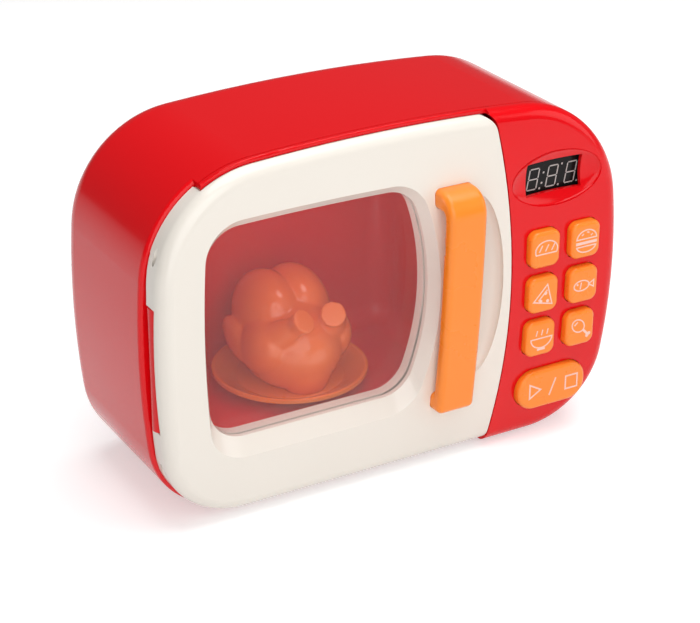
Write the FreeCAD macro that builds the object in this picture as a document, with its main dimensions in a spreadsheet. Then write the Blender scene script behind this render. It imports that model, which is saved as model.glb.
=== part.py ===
import FreeCAD, Part
import Sketcher
import math
import os
import re

# A toy microwave oven: a red case with a barrel-shaped front, a cream door on a hinge pin at the left, a panel of
# keys at the right, and a turntable that a small motor drives through two pairs of gears under the oven floor.
# Millimetres; X to the right, Y to the back, Z up; the origin is on the table, under the middle of the part.

SIZES = {
    # overall
    "case_width": 260.0,
    "case_height": 186.0,
    "foot_height": 3.0,
    "foot_radius": 7.0,
    "foot_inset": 58.0,
    "foot_front_y": 20.0,
    "foot_back_y": 74.0,
    "face_y": -30.5,
    "overrun": 20.0,
    # outline of the case
    "side_radius": 450.0,
    "top_radius": 1000.0,
    "top_corner": 58.0,
    "base_corner": 44.0,
    "wall": 2.4,
    "no_inset": 0.0,
    # rear housing
    "bezel_depth": 6.0,
    "case_depth": 92.0,
    "rear_edge": 16.0,
    # front
    "front_depth": 18.0,
    "bulge_radius": 720.0,
    "roll_radius": 7.0,
    "ring_edge": 2.4,
    "plate_thick": 2.6,
    "panel_width": 66.0,
    "seam_drop": 2.0,
    "seam_radius": 430.0,
    "seam_gap": 0.7,
    "seam_corner": 11.0,
    "horn_inset": 12.0,
    "lip_reach": 7.0,
    "lip_thick": 2.2,
    "lip_inset": 30.0,
    "lip_round": 0.8,
    "groove_y": 4.7,
    "groove_wide": 0.6,
    "groove_deep": 0.5,
    # oven liner
    "oven_inset": 22.0,
    "oven_side": 12.0,
    "oven_floor": 36.0,
    "oven_drop": 18.0,
    "oven_depth": 86.0,
    "oven_corner": 22.0,
    "oven_back_edge": 11.0,
    "liner_wall": 2.0,
    "flange_wide": 3.0,
    "flange_thick": 2.0,
    # door
    "door_inset": 2.0,
    "door_gap": 0.5,
    "hinge_inset": 7.0,
    "hinge_y": 6.0,
    "knuckle_radius": 5.0,
    "knuckle_tall": 14.0,
    "barrel_radius": 4.7,
    "notch_below": 36.0,
    "notch_above": 28.0,
    "notch_reach": 5.6,
    "notch_front": 5.2,
    "web_left": 2.5,
    "hinge_clear": 0.4,
    "pin_radius": 1.5,
    "pin_fit": 0.05,
    "pin_overlap": 12.0,
    # window
    "window_inset": 28.5,
    "window_side": 44.5,
    "window_low": 44.5,
    "window_drop": 32.0,
    "window_left_radius": 600.0,
    "window_right_radius": 125.0,
    "window_top_radius": 1400.0,
    "window_corner": 18.0,
    "dish_left": 4.5,
    "dish_right": 3.0,
    "dish_low": 13.5,
    "dish_high": 8.5,
    "dish_right_radius": 165.0,
    "dish_corner": 22.0,
    "dish_depth": 8.0,
    "dish_lead": 1.0,
    "window_lift": 7.0,
    "pane_thick": 1.6,
    "pane_lap": 2.2,
    "inner_panel": 2.0,
    "panel_fit": 0.4,
    "door_screw_inset": 17.0,
    "door_screw_side": 14.0,
    "left_screw_drop": 43.0,
    "door_screw_low": 36.0,
    "right_screw_drop": 27.0,
    "door_screw_base": 30.0,
    "panel_boss": 4.2,
    "panel_boss_tall": 2.0,
    # finger recess and handle
    "recess_side": 22.0,
    "recess_lift": 4.0,
    "recess_half": 17.0,
    "recess_tall": 49.0,
    "recess_depth": 8.0,
    "recess_lead": 1.0,
    "handle_side": 34.5,
    "handle_width": 21.0,
    "handle_reach": 13.0,
    "handle_thick": 7.5,
    "handle_bow": 1000.0,
    "handle_above": 59.5,
    "handle_below": 59.0,
    "handle_bend": 12.0,
    "handle_toe": 3.0,
    "handle_foot": 10.0,
    "handle_round": 3.0,
    "handle_inner": 2.0,
    "handle_seat": 3.6,
    "handle_fit": 0.15,
    # latch
    "tongue_side": 5.6,
    "tongue_thick": 1.8,
    "tongue_drop": 5.0,
    "tongue_tall": 10.0,
    "tongue_reach": 6.0,
    "tongue_foot": 7.0,
    "tongue_foot_thick": 1.5,
    "slot_clear": 0.8,
    "clip_sheet": 0.6,
    "clip_deep": 9.0,
    "clip_clear": 0.3,
    "clip_flange": 4.5,
    # control panel
    "key_inset": 36.3,
    "key_pitch_x": 24.5,
    "start_space": 6.05,
    "key_share": 0.1325,
    "key_size": 17.5,
    "key_space": 5.145,
    "key_corner": 4.5,
    "key_proud": 4.2,
    "key_round": 2.0,
    "key_lip": 1.5,
    "key_lip_thick": 1.2,
    "key_seat": 3.6,
    "key_fit": 0.35,
    "key_travel": 1.3,
    "stem_radius": 3.0,
    "start_inset": 38.5,
    "start_share": 0.1613,
    "start_wide": 41.5,
    "start_tall": 21.5,
    "start_corner": 10.0,
    "display_inset": 40.0,
    "display_share": 0.7796,
    "display_wide": 33.0,
    "display_tall": 17.0,
    "module_rim": 2.0,
    "module_thick": 8.0,
    "oval_half": 27.0,
    "oval_tall": 14.5,
    "oval_depth": 4.5,
    "board_inset": 60.0,
    "board_edge": 14.5,
    "board_low": 20.5,
    "board_above": 4.5,
    "board_y": 1.0,
    "board_thick": 1.6,
    "board_cut": 6.0,
    "switch_size": 6.0,
    "switch_tall": 3.5,
    "plunger_radius": 1.7,
    "plunger_tall": 1.5,
    "press_clear": 0.1,
    "boss_radius": 3.0,
    "boss_pitch_x": 18.5,
    "boss_above": 15.0,
    "boss_below": 14.6,
    # screws
    "screw_radius": 1.2,
    "screw_head": 2.6,
    "screw_head_tall": 1.8,
    "screw_long": 8.0,
    "screw_slot": 0.6,
    "screw_slot_deep": 0.8,
    "tube_radius": 4.2,
    "tube_bore": 3.0,
    "tube_floor": 2.5,
    "tube_front_y": 16.0,
    "left_tube_inset": 11.5,
    "left_tube_below": 33.0,
    "left_tube_above": 25.0,
    "right_tube_inset": 9.5,
    "right_tube_below": 41.0,
    "right_tube_above": 35.0,
    # turntable and gears
    "table_y": 44.5,
    "plate_radius": 40.0,
    "plate_floor": 2.4,
    "plate_rim": 7.5,
    "plate_flat": 28.0,
    "plate_edge": 1.8,
    "plate_lift": 1.2,
    "gear_module": 0.8,
    "gear_backlash": 0.16,
    "gear_thick": 3.0,
    "gear_gap": 0.8,
    "hub_radius": 5.0,
    "hub_fit": 0.1,
    "hub_square": 7.0,
    "spigot_radius": 2.5,
    "thrust_gap": 0.15,
    "hub_square_tall": 1.6,
    "deck_low": 21.0,
    "deck_thick": 2.0,
    "deck_left": 28.0,
    "deck_right": 55.0,
    "deck_half": 22.0,
    "post_radius": 3.2,
    "post_left": 24.0,
    "post_right": 50.0,
    "post_half": 17.5,
    "pivot_radius": 1.5,
    "motor_wide": 12.0,
    "motor_deep": 10.0,
    "motor_tall": 15.0,
    "shaft_radius": 1.0,
    "shaft_deep": 4.0,
    "cradle_wall": 1.6,
    "cradle_tall": 6.0,
    "pin_head": 3.0,
    "pin_head_tall": 1.5,
    "pin_top": 2.0,
    # loudspeaker and lamp
    "speaker_y": 32.0,
    "speaker_drop": 1.0,
    "speaker_radius": 18.0,
    "speaker_rim": 2.5,
    "magnet_radius": 9.0,
    "magnet_deep": 6.0,
    "collar_wall": 1.6,
    "collar_deep": 5.0,
    "collar_fit": 0.2,
    "slot_wide": 1.8,
    "slot_pitch": 4.2,
    "slot_tall": 20.0,
    "lamp_y": 24.0,
    "lamp_drop": 20.0,
    "lamp_radius": 5.0,
    "lens_dome": 3.0,
    "lamp_rim": 1.5,
    "led_radius": 2.5,
    "led_long": 8.0,
    # batteries
    "cell_radius": 7.1,
    "cell_long": 50.0,
    "cell_nub": 2.6,
    "cell_nub_tall": 1.0,
    "cell_gap": 0.4,
    "cell_inset": 46.0,
    "cell_below": 25.0,
    "contact_thick": 0.5,
    "contact_wide": 9.0,
    "tray_wall": 1.5,
    "tray_rim": 2.2,
    "tray_deep": 16.0,
    "contact_deep": 10.0,
    "cover_fit": 0.3,
    "cover_ear": 9.0,
    "cover_lap": 1.0,
    # roast chicken
    "bird_long": 32.0,
    "bird_wide": 28.0,
    "bird_tall": 26.0,
    "bird_lift": 20.0,
    "breast_long": 24.0,
    "breast_wide": 25.0,
    "breast_tall": 23.0,
    "breast_back": 9.0,
    "breast_lift": 32.5,
    "tail_long": 13.0,
    "tail_wide": 15.5,
    "tail_tall": 23.5,
    "tail_front": 18.0,
    "tail_lift": 16.5,
    "thigh_long": 19.0,
    "thigh_thick": 11.0,
    "thigh_tall": 14.0,
    "thigh_spread": 19.0,
    "thigh_front": 7.0,
    "thigh_lift": 22.5,
    "shank_radius": 5.2,
    "shank_spread": 16.5,
    "shank_front": 15.5,
    "shank_lift": 28.5,
    "knob_radius": 6.6,
    "knob_spread": 10.0,
    "knob_front": 27.0,
    "knob_lift": 42.0,
    "wing_thick": 6.0,
    "wing_long": 14.0,
    "wing_tall": 9.5,
    "wing_spread": 25.0,
    "wing_back": 7.0,
    "wing_lift": 22.0,
}
# Places and sizes that follow the case: where the width or the height changes, these move with it
PLACES = {
    "foot_reach_x": "case_width/2 - foot_inset",
    "side_mid_z": "case_height/2",
    "seam_x": "case_width/2 - panel_width",
    "seam_z": "case_height/2 - seam_drop",
    "horn_x": "seam_x - horn_inset",
    "lip_left": "lip_inset - case_width/2",
    "oven_left": "oven_inset - case_width/2",
    "oven_right": "seam_x - oven_side",
    "oven_top": "case_height - oven_drop",
    "hinge_x": "hinge_inset - case_width/2",
    "notch_low": "case_height/2 - notch_below",
    "notch_high": "case_height/2 + notch_above",
    "window_left": "window_inset - case_width/2",
    "window_right": "seam_x - window_side",
    "window_high": "case_height - window_drop",
    "window_mid_z": "case_height/2 + window_lift",
    "door_screw_left": "door_screw_inset - case_width/2",
    "door_screw_right": "seam_x - door_screw_side",
    "door_screw_high": "case_height - left_screw_drop",
    "door_screw_top": "case_height - right_screw_drop",
    "recess_x": "seam_x - recess_side",
    "recess_z": "case_height/2 + recess_lift",
    "handle_x": "seam_x - handle_side",
    "handle_high": "case_height/2 + handle_above",
    "handle_low": "case_height/2 - handle_below",
    "tongue_x": "seam_x - tongue_side",
    "tongue_z": "case_height/2 - tongue_drop",
    "key_x": "case_width/2 - key_inset",
    "start_x": "case_width/2 - start_inset",
    "start_z": "case_height*start_share",
    "key_pitch_z": "case_height*key_share",
    "key_low_z": "start_z + key_pitch_z + start_space",
    "key_tall": "key_pitch_z - key_space",
    "display_x": "case_width/2 - display_inset",
    "display_z": "case_height*display_share",
    "board_left": "case_width/2 - board_inset",
    "board_right": "case_width/2 - board_edge",
    "board_high": "display_z + display_tall/2 + board_above",
    "boss_high_z": "key_low_z + key_pitch_z + key_pitch_z + boss_above",
    "boss_low_z": "key_low_z - boss_below",
    "left_tube_x": "case_width/2 - left_tube_inset",
    "left_tube_low": "case_height/2 - left_tube_below",
    "left_tube_high": "case_height/2 + left_tube_above",
    "right_tube_x": "case_width/2 - right_tube_inset",
    "right_tube_low": "case_height/2 - right_tube_below",
    "right_tube_high": "case_height/2 + right_tube_above",
    "table_x": "oven_left/2 + oven_right/2",
    "speaker_z": "case_height/2 - speaker_drop",
    "lamp_z": "oven_top - lamp_drop",
    "cell_x": "case_width/2 - cell_inset",
    "cell_low_z": "case_height/2 - cell_below",
}
KEY_ROWS = 3
GEAR_TEETH = {"hub": 48, "idler_small": 12, "idler_large": 40, "pinion": 10}
ADDENDUM_SHARE = 0.8
DEDENDUM_SHARE = 1.05
PRESSURE_ANGLE = 25.0
SPEAKER_SLOTS = 6
CELLS = 3
FLANK_STEPS = 3
THIGH_TILT = 28.0

doc = FreeCAD.newDocument("toy_microwave")
sheet = doc.addObject("Spreadsheet::Sheet", "sizes")
for row, (alias, value) in enumerate(list(SIZES.items()) + list(PLACES.items()), start=1):
    sheet.set("A%d" % row, alias)
    sheet.set("B%d" % row, "=" + value if alias in PLACES else str(value))
    sheet.setAlias("B%d" % row, alias)
doc.recompute()


# A size is written as a sum of names, such as "face_y - front_depth + wall", "case_width/2" or
# "case_height*key_share"

def size(name):
    return mm(PLACES[name]) if name in PLACES else SIZES[name]


def term(word):
    """A name, a name over a number, or a name times a share."""
    name, slash, part = word.partition("/")
    if slash:
        return size(name) / float(part)
    name, star, share = word.partition("*")
    return size(name) * size(share) if star else size(name)


def mm(text):
    total = 0.0
    sign = 1.0
    for word in text.split():
        if word in "+-":
            sign = 1.0 if word == "+" else -1.0
            continue
        total += sign * term(word)
        sign = 1.0
    return total


def cell(text):
    return re.sub(r"[a-z]\w*", lambda found: "sizes." + found.group(0), text)


def less(text, other):
    """The sum text minus the sum other."""
    flipped = other.replace("+", "#").replace("-", "+").replace("#", "-")
    return text + " - " + flipped


def bind(thing, prop, text):
    thing.setExpression(prop, cell(text))


# Solids of the Part kind, bound to the sheet

AXIS_TURNS = {
    "X": FreeCAD.Rotation(FreeCAD.Vector(0, 1, 0), 90),
    "Y": FreeCAD.Rotation(FreeCAD.Vector(1, 0, 0), -90),
    "Z": FreeCAD.Rotation(),
}


def place(thing, spot):
    for letter, text in zip("xyz", spot):
        if text:
            bind(thing, "Placement.Base." + letter, text)
    return thing


def box(name, spot, size):
    thing = doc.addObject("Part::Box", name)
    for prop, text in zip(("Length", "Width", "Height"), size):
        bind(thing, prop, text)
    return place(thing, spot)


def rod(name, spot, radius, length, axis="Z"):
    thing = doc.addObject("Part::Cylinder", name)
    bind(thing, "Radius", radius)
    bind(thing, "Height", length)
    thing.Placement = FreeCAD.Placement(FreeCAD.Vector(), AXIS_TURNS[axis])
    return place(thing, spot)


def egg(name, spot, radii, turn=None):
    """Ellipsoid with its three radii along X, Y and Z."""
    thing = doc.addObject("Part::Ellipsoid", name)
    bind(thing, "Radius2", radii[0])
    bind(thing, "Radius3", radii[1])
    bind(thing, "Radius1", radii[2])
    thing.Angle1 = -90
    thing.Angle2 = 90
    thing.Angle3 = 360
    if turn:
        thing.Placement = FreeCAD.Placement(FreeCAD.Vector(), turn)
    return place(thing, spot)


def fuse(name, things):
    whole = doc.addObject("Part::MultiFuse", name)
    whole.Shapes = things
    whole.Refine = True
    return whole


def cut(name, base, tools):
    left = doc.addObject("Part::Cut", name)
    left.Base = base
    left.Tool = tools[0] if len(tools) == 1 else fuse(name + "_tools", tools)
    left.Refine = True
    return left


def group(name, things):
    """Several separate solids that make one node."""
    together = doc.addObject("Part::Compound", name)
    together.Links = things
    return together


def copies(name, master, spots, turn=FreeCAD.Rotation()):
    """The same solid at several places, as one node."""
    doc.recompute()
    made = []
    for number, spot in enumerate(spots):
        one = doc.addObject("Part::Feature", "%s_%d" % (name, number + 1))
        one.Shape = master.Shape.copy()
        one.Placement = FreeCAD.Placement(FreeCAD.Vector(*spot), turn)
        made.append(one)
    return group(name, made)


# Bodies with sketches and features

def new_body(name):
    return doc.addObject("PartDesign::Body", name)


def new_sketch(body, role, offset):
    sketch = body.newObject("Sketcher::SketchObject", body.Name + "_sketch")
    base = [feature for feature in body.Origin.OriginFeatures if feature.Role == role][0]
    sketch.AttachmentSupport = [(base, "")]
    sketch.MapMode = "FlatFace"
    if offset:
        bind(sketch, "AttachmentOffset.Base.z", offset)
    return sketch


def feature(body, kind, sketch, **texts):
    made = body.newObject("PartDesign::" + kind, body.Name + "_" + kind.lower())
    made.Profile = sketch
    for prop, text in texts.items():
        bind(made, prop, text)
    return made


def pad(body, sketch, length):
    return feature(body, "Pad", sketch, Length=length)


def pocket(body, sketch, length, both=False):
    made = feature(body, "Pocket", sketch, Length=length)
    if both:
        made.SideType = "Symmetric"
    return made


def revolve(body, sketch, kind="Revolution"):
    made = feature(body, kind, sketch)
    made.ReferenceAxis = (sketch, ["V_Axis"])
    made.Angle = 360
    return made


def round_edges(body, base, radius, wanted):
    """Fillet on the edges of the base feature for which wanted(edge) is true."""
    doc.recompute()
    names = ["Edge%d" % (i + 1) for i, edge in enumerate(base.Shape.Edges) if wanted(edge)]
    made = body.newObject("PartDesign::Fillet", body.Name + "_fillet")
    made.Base = (base, names)
    bind(made, "Radius", radius)
    body.Tip = made
    doc.recompute()
    return made


def tie(sketch, kind, where, text):
    number = sketch.addConstraint(Sketcher.Constraint(kind, *where, mm(text)))
    sketch.setExpression("Constraints[%d]" % number, cell(text))


def arc(centre, radius, start, end):
    circle = Part.Circle(FreeCAD.Vector(centre[0], centre[1], 0), FreeCAD.Vector(0, 0, 1), radius)
    return Part.ArcOfCircle(circle, start, end)


def line(start, end):
    return Part.LineSegment(FreeCAD.Vector(start[0], start[1], 0), FreeCAD.Vector(end[0], end[1], 0))


def polygon(sketch, points):
    """Closed outline through points that are given as pairs of sums."""
    first = sketch.GeometryCount
    spots = [(mm(across), mm(up)) for across, up in points]
    count = len(points)
    for i in range(count):
        sketch.addGeometry(line(spots[i], spots[(i + 1) % count]), False)
    for i in range(count):
        sketch.addConstraint(Sketcher.Constraint("Coincident", first + i, 2, first + (i + 1) % count, 1))
    for i, (across, up) in enumerate(points):
        tie(sketch, "DistanceX", (-1, 1, first + i, 1), across)
        tie(sketch, "DistanceY", (-1, 1, first + i, 1), up)


def pillow(sketch, left, right, low, high, radii, corners):
    """Closed outline of four outward-bowed sides and four tangent corner arcs.

    left and right are pairs of sums: the side's outermost X and the Z where it lies; high is the top's Z over
    X zero of the outline's own middle; radii are those of the left, right and top side; the base is straight.
    corners are the radii of the base and the top corners.
    """
    left_x, left_z = left
    right_x, right_z = right
    middle, top = high
    left_r, right_r, top_r = radii
    base_c, top_c = corners
    side = {
        "left": ((mm(left_x) + mm(left_r), mm(left_z)), mm(left_r)),
        "right": ((mm(right_x) - mm(right_r), mm(right_z)), mm(right_r)),
        "top": ((mm(middle), mm(top) - mm(top_r)), mm(top_r)),
    }

    def base_centre(name, way):
        (cx, cz), radius = side[name]
        up = mm(low) + mm(base_c)
        return (cx + way * math.sqrt((radius - mm(base_c)) ** 2 - (up - cz) ** 2), up)

    def top_centre(name, way):
        (ax, az), a_radius = side[name]
        (bx, bz), b_radius = side["top"]
        a = a_radius - mm(top_c)
        b = b_radius - mm(top_c)
        gap = math.hypot(bx - ax, bz - az)
        along = (a * a - b * b + gap * gap) / (2 * gap)
        off = math.sqrt(a * a - along * along)
        ux, uz = (bx - ax) / gap, (bz - az) / gap
        return (ax + along * ux - way * off * uz, az + along * uz + way * off * ux)

    def aim(name, centre):
        (cx, cz), radius = side[name]
        return math.atan2(centre[1] - cz, centre[0] - cx)

    right_base, left_base = base_centre("right", 1), base_centre("left", -1)
    right_top, left_top = top_centre("right", 1), top_centre("left", -1)
    turn = 2 * math.pi
    down = -math.pi / 2
    right_low, right_high = aim("right", right_base), aim("right", right_top)
    left_low, left_high = aim("left", left_base) % turn, aim("left", left_top) % turn
    top_right, top_left = aim("top", right_top), aim("top", left_top)
    pieces = [
        line((left_base[0], mm(low)), (right_base[0], mm(low))),
        arc(right_base, mm(base_c), down, right_low),
        arc(side["right"][0], side["right"][1], right_low, right_high),
        arc(right_top, mm(top_c), right_high, top_right),
        arc(side["top"][0], side["top"][1], top_right, top_left),
        arc(left_top, mm(top_c), top_left, left_high),
        arc(side["left"][0], side["left"][1], left_high, left_low),
        arc(left_base, mm(base_c), left_low, turn + down),
    ]
    first = sketch.GeometryCount
    sketch.addGeometry(pieces, False)
    for i in range(len(pieces)):
        following = first + (i + 1) % len(pieces)
        sketch.addConstraint(Sketcher.Constraint("Tangent", first + i, 2, following, 1))
    sketch.addConstraint(Sketcher.Constraint("Horizontal", first))
    tie(sketch, "DistanceY", (-1, 1, first, 1), low)
    for number, across, up, radius in (
        (2, less(right_x, right_r), right_z, right_r),
        (6, left_x + " + " + left_r, left_z, left_r),
        (4, middle, less(top, top_r), top_r),
    ):
        tie(sketch, "DistanceX", (-1, 1, first + number, 3), across)
        tie(sketch, "DistanceY", (-1, 1, first + number, 3), up)
        tie(sketch, "Radius", (first + number,), radius)
    for number, radius in ((1, base_c), (7, base_c), (3, top_c), (5, top_c)):
        tie(sketch, "Radius", (first + number,), radius)


def round_rect(sketch, half_wide, half_tall, corner):
    """Rounded rectangle about the sketch's origin."""
    across_text, up_text = less(half_wide, corner), less(half_tall, corner)
    across, up, radius = mm(across_text), mm(up_text), mm(corner)
    half = math.pi / 2
    centres = [(across, -up), (across, up), (-across, up), (-across, -up)]
    pieces = []
    for i, (x, z) in enumerate(centres):
        start = (i - 1) * half
        pieces.append(arc((x, z), radius, start, start + half))
        after = centres[(i + 1) % len(centres)]
        shift_x, shift_z = radius * math.cos(start + half), radius * math.sin(start + half)
        pieces.append(line((x + shift_x, z + shift_z), (after[0] + shift_x, after[1] + shift_z)))
    first = sketch.GeometryCount
    sketch.addGeometry(pieces, False)
    for i in range(len(pieces)):
        following = first + (i + 1) % len(pieces)
        sketch.addConstraint(Sketcher.Constraint("Tangent", first + i, 2, following, 1))
    for i, (x, z) in enumerate(centres):
        x_text = across_text if x > 0 else less("no_inset", across_text)
        z_text = up_text if z > 0 else less("no_inset", up_text)
        tie(sketch, "DistanceX", (-1, 1, first + 2 * i, 3), x_text)
        tie(sketch, "DistanceY", (-1, 1, first + 2 * i, 3), z_text)
        tie(sketch, "Radius", (first + 2 * i,), corner)


def case_outline(sketch, inset):
    """The case seen from the front, every side moved in by the sum inset."""
    side = less("side_radius", inset)
    pillow(
        sketch,
        ("- case_width/2 + " + inset, "side_mid_z"),
        (less("case_width/2", inset), "side_mid_z"),
        "foot_height + " + inset,
        ("no_inset", less("case_height", inset)),
        (side, side, less("top_radius", inset)),
        (less("base_corner", inset), less("top_corner", inset)),
    )


def bulge(up):
    """How far the bowed front lies behind its foremost line at height up."""
    return SIZES["bulge_radius"] - math.sqrt(SIZES["bulge_radius"] ** 2 - (up - size("side_mid_z")) ** 2)


def front_profile(sketch, inset):
    """All that lies ahead of the bowed front, in a Y-Z sketch."""
    radius = less("bulge_radius", inset)
    nose = "face_y - front_depth + " + inset
    reach = mm("case_height/2 + overrun")
    drop = math.asin(reach / mm(radius))
    centre = (mm(nose) + mm(radius), size("side_mid_z"))
    low = (centre[0] - mm(radius) * math.cos(drop), centre[1] - reach)
    high = (low[0], centre[1] + reach)
    ahead = mm("face_y - front_depth - overrun")
    pieces = [
        arc(centre, mm(radius), math.pi - drop, math.pi + drop),
        line(low, (ahead, low[1])),
        line((ahead, low[1]), (ahead, high[1])),
        line((ahead, high[1]), high),
    ]
    sketch.addGeometry(pieces, False)
    for first, end, second, start in ((0, 2, 1, 1), (1, 2, 2, 1), (2, 2, 3, 1), (3, 2, 0, 1)):
        sketch.addConstraint(Sketcher.Constraint("Coincident", first, end, second, start))
    sketch.addConstraint(Sketcher.Constraint("Horizontal", 1))
    sketch.addConstraint(Sketcher.Constraint("Vertical", 2))
    sketch.addConstraint(Sketcher.Constraint("Horizontal", 3))
    tie(sketch, "DistanceX", (-1, 1, 0, 3), nose + " + " + radius)
    tie(sketch, "DistanceY", (-1, 1, 0, 3), "side_mid_z")
    tie(sketch, "Radius", (0,), radius)
    tie(sketch, "DistanceX", (-1, 1, 2, 1), "face_y - front_depth - overrun")
    tie(sketch, "DistanceY", (-1, 1, 1, 1), "side_mid_z - case_height/2 - overrun")
    tie(sketch, "DistanceY", (-1, 1, 3, 1), "side_mid_z + case_height/2 + overrun")


def seam_side(sketch, shift, inset, keep_door):
    """The field to cut away beside the seam, which bows to the right and rounds off at the door's upper corner.

    shift moves the seam to the right; inset is that of the outline at whose top the corner ends.
    """
    seam_r = "seam_radius + " + shift
    seam = (mm("seam_x - seam_radius"), size("seam_z"))
    corner = mm("seam_corner + " + shift)
    top_r = mm(less("top_radius", inset))
    top = (0.0, mm("case_height - top_radius"))
    a, b = mm(seam_r) - corner, top_r - corner
    gap = math.hypot(top[0] - seam[0], top[1] - seam[1])
    along = (a * a - b * b + gap * gap) / (2 * gap)
    off = math.sqrt(a * a - along * along)
    ux, uz = (top[0] - seam[0]) / gap, (top[1] - seam[1]) / gap
    middle = (seam[0] + along * ux - off * uz, seam[1] + along * uz + off * ux)
    top_turn = math.atan2(middle[1] - top[1], middle[0] - top[0])
    seam_turn = math.atan2(middle[1] - seam[1], middle[0] - seam[0])
    start = (middle[0] + corner * math.cos(top_turn), middle[1] + corner * math.sin(top_turn))
    low = mm("no_inset - overrun")
    base_turn = math.asin((low - seam[1]) / mm(seam_r))
    foot = (seam[0] + mm(seam_r) * math.cos(base_turn), low)
    high = mm("case_height + overrun")
    far = mm("case_width/2 + overrun") if keep_door else mm("- case_width/2 - overrun")
    pieces = [
        arc(seam, mm(seam_r), base_turn, seam_turn),
        arc(middle, corner, seam_turn, top_turn),
        line(start, (start[0], high)),
        line((start[0], high), (far, high)),
        line((far, high), (far, low)),
        line((far, low), foot),
    ]
    sketch.addGeometry(pieces, False)
    sketch.addConstraint(Sketcher.Constraint("Tangent", 0, 2, 1, 1))
    for number in range(1, len(pieces)):
        after = (number + 1) % len(pieces)
        sketch.addConstraint(Sketcher.Constraint("Coincident", number, 2, after, 1))
    for number in (2, 4):
        sketch.addConstraint(Sketcher.Constraint("Vertical", number))
    for number in (3, 5):
        sketch.addConstraint(Sketcher.Constraint("Horizontal", number))
    tie(sketch, "DistanceX", (-1, 1, 0, 3), "seam_x - seam_radius")
    tie(sketch, "DistanceY", (-1, 1, 0, 3), "seam_z")
    tie(sketch, "Radius", (0,), seam_r)
    tie(sketch, "Radius", (1,), "seam_corner + " + shift)
    sketch.addConstraint(Sketcher.Constraint("DistanceY", -1, 1, 1, 3, middle[1]))
    sketch.addConstraint(Sketcher.Constraint("DistanceX", -1, 1, 1, 2, start[0]))
    tie(sketch, "DistanceY", (-1, 1, 3, 1), "case_height + overrun")
    tie(sketch, "DistanceX", (-1, 1, 4, 1), ("" if keep_door else "- ") + "case_width/2 "
        + ("+" if keep_door else "-") + " overrun")
    tie(sketch, "DistanceY", (-1, 1, 5, 1), "no_inset - overrun")


def front_block(name, inset, skin, back, keep_door):
    """The bowed front with rolled edges, on one side of the seam, from its nose back to the plane back.

    skin moves every outer face in by a wall, for the hollow behind that wall.
    """
    body = new_body(name)
    outline = new_sketch(body, "XZ_Plane", less("no_inset", back))
    case_outline(outline, inset + " + " + skin)
    pad(body, outline, less(back, "face_y - front_depth"))
    profile = new_sketch(body, "YZ_Plane", "")
    front_profile(profile, skin)
    bowed = pocket(body, profile, "case_width + overrun", both=True)
    doc.recompute()
    behind = mm(back) - mm("door_gap/2")
    rolled = round_edges(body, bowed, less("roll_radius", skin), lambda edge: edge.BoundBox.YMax < behind)
    whole = rolled.Shape.Volume
    side = new_sketch(body, "XZ_Plane", "overrun + front_depth - face_y")
    shift = less("no_inset - seam_gap/2", skin) if keep_door else "seam_gap/2 + " + skin
    seam_side(side, shift, inset + " + " + skin, keep_door)
    trimmed = pocket(body, side, "overrun + front_depth + bezel_depth + overrun")
    doc.recompute()
    if trimmed.Shape.Volume >= whole:
        raise ValueError("the seam removed nothing")
    return body, trimmed


# Front bezel: the ring behind the door with a lip over the door's top edge, the plate round the oven's mouth, the
# hollow control panel with its key holes, display dish and bosses, the hinge barrel that stands in the door's notch,
# and a fine groove all round behind the door

def round_prism(name, spot, half_wide, half_tall, corner, front, back):
    """Rounded block along Y between the local planes front and back, round the place spot."""
    body = new_body(name)
    outline = new_sketch(body, "XZ_Plane", less("no_inset", back))
    round_rect(outline, half_wide, half_tall, corner)
    pad(body, outline, less(back, front))
    body.Placement.Base = FreeCAD.Vector(*spot)
    return body


KEYS = []
for key_row in range(KEY_ROWS):
    for column, way in enumerate((-1, 1)):
        up = size("key_low_z") + (KEY_ROWS - 1 - key_row) * size("key_pitch_z")
        across = size("key_x") + way * SIZES["key_pitch_x"] / 2
        KEYS.append(("food_key_%d" % (len(KEYS) + 1), across, up, "key_size", "key_tall", "key_corner"))
KEYS.append(("start_key", size("start_x"), size("start_z"), "start_wide", "start_tall", "start_corner"))


def key_spot(across, up):
    """The place on the bowed front where a key stands."""
    return (across, mm("face_y - front_depth") + bulge(up), up)


def oven_prism(name, grow, front, deep):
    """The oven's rounded section, grown by a wall, as a block from the plane front to the back."""
    body = new_body(name)
    outline = new_sketch(body, "XZ_Plane", less("no_inset", front))
    polygon(outline, (
        ("oven_left - " + grow, "oven_floor - " + grow),
        ("oven_right + " + grow, "oven_floor - " + grow),
        ("oven_right + " + grow, "oven_top + " + grow),
        ("oven_left - " + grow, "oven_top + " + grow),
    ))
    block = pad(body, outline, deep)
    block.Reversed = True
    middle = mm("oven_floor/2 + oven_top/2")
    along_y = lambda edge: edge.BoundBox.YLength > max(edge.BoundBox.ZLength, edge.BoundBox.XLength)
    upper = round_edges(body, block, "oven_corner + " + grow,
                        lambda edge: along_y(edge) and edge.BoundBox.ZMin > middle)
    return body, round_edges(body, upper, "oven_back_edge + " + grow,
                             lambda edge: along_y(edge) and edge.BoundBox.ZMax < middle and edge.Curve.TypeId
                             == "Part::GeomLine")


def outline_slab(name, inset, front, length):
    """A slab of the case's outline, moved in by the sum inset, from the plane front to the back."""
    body = new_body(name)
    outline = new_sketch(body, "XZ_Plane", less("no_inset", front))
    case_outline(outline, inset)
    slab = pad(body, outline, length)
    slab.Reversed = True
    return body, slab


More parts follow.
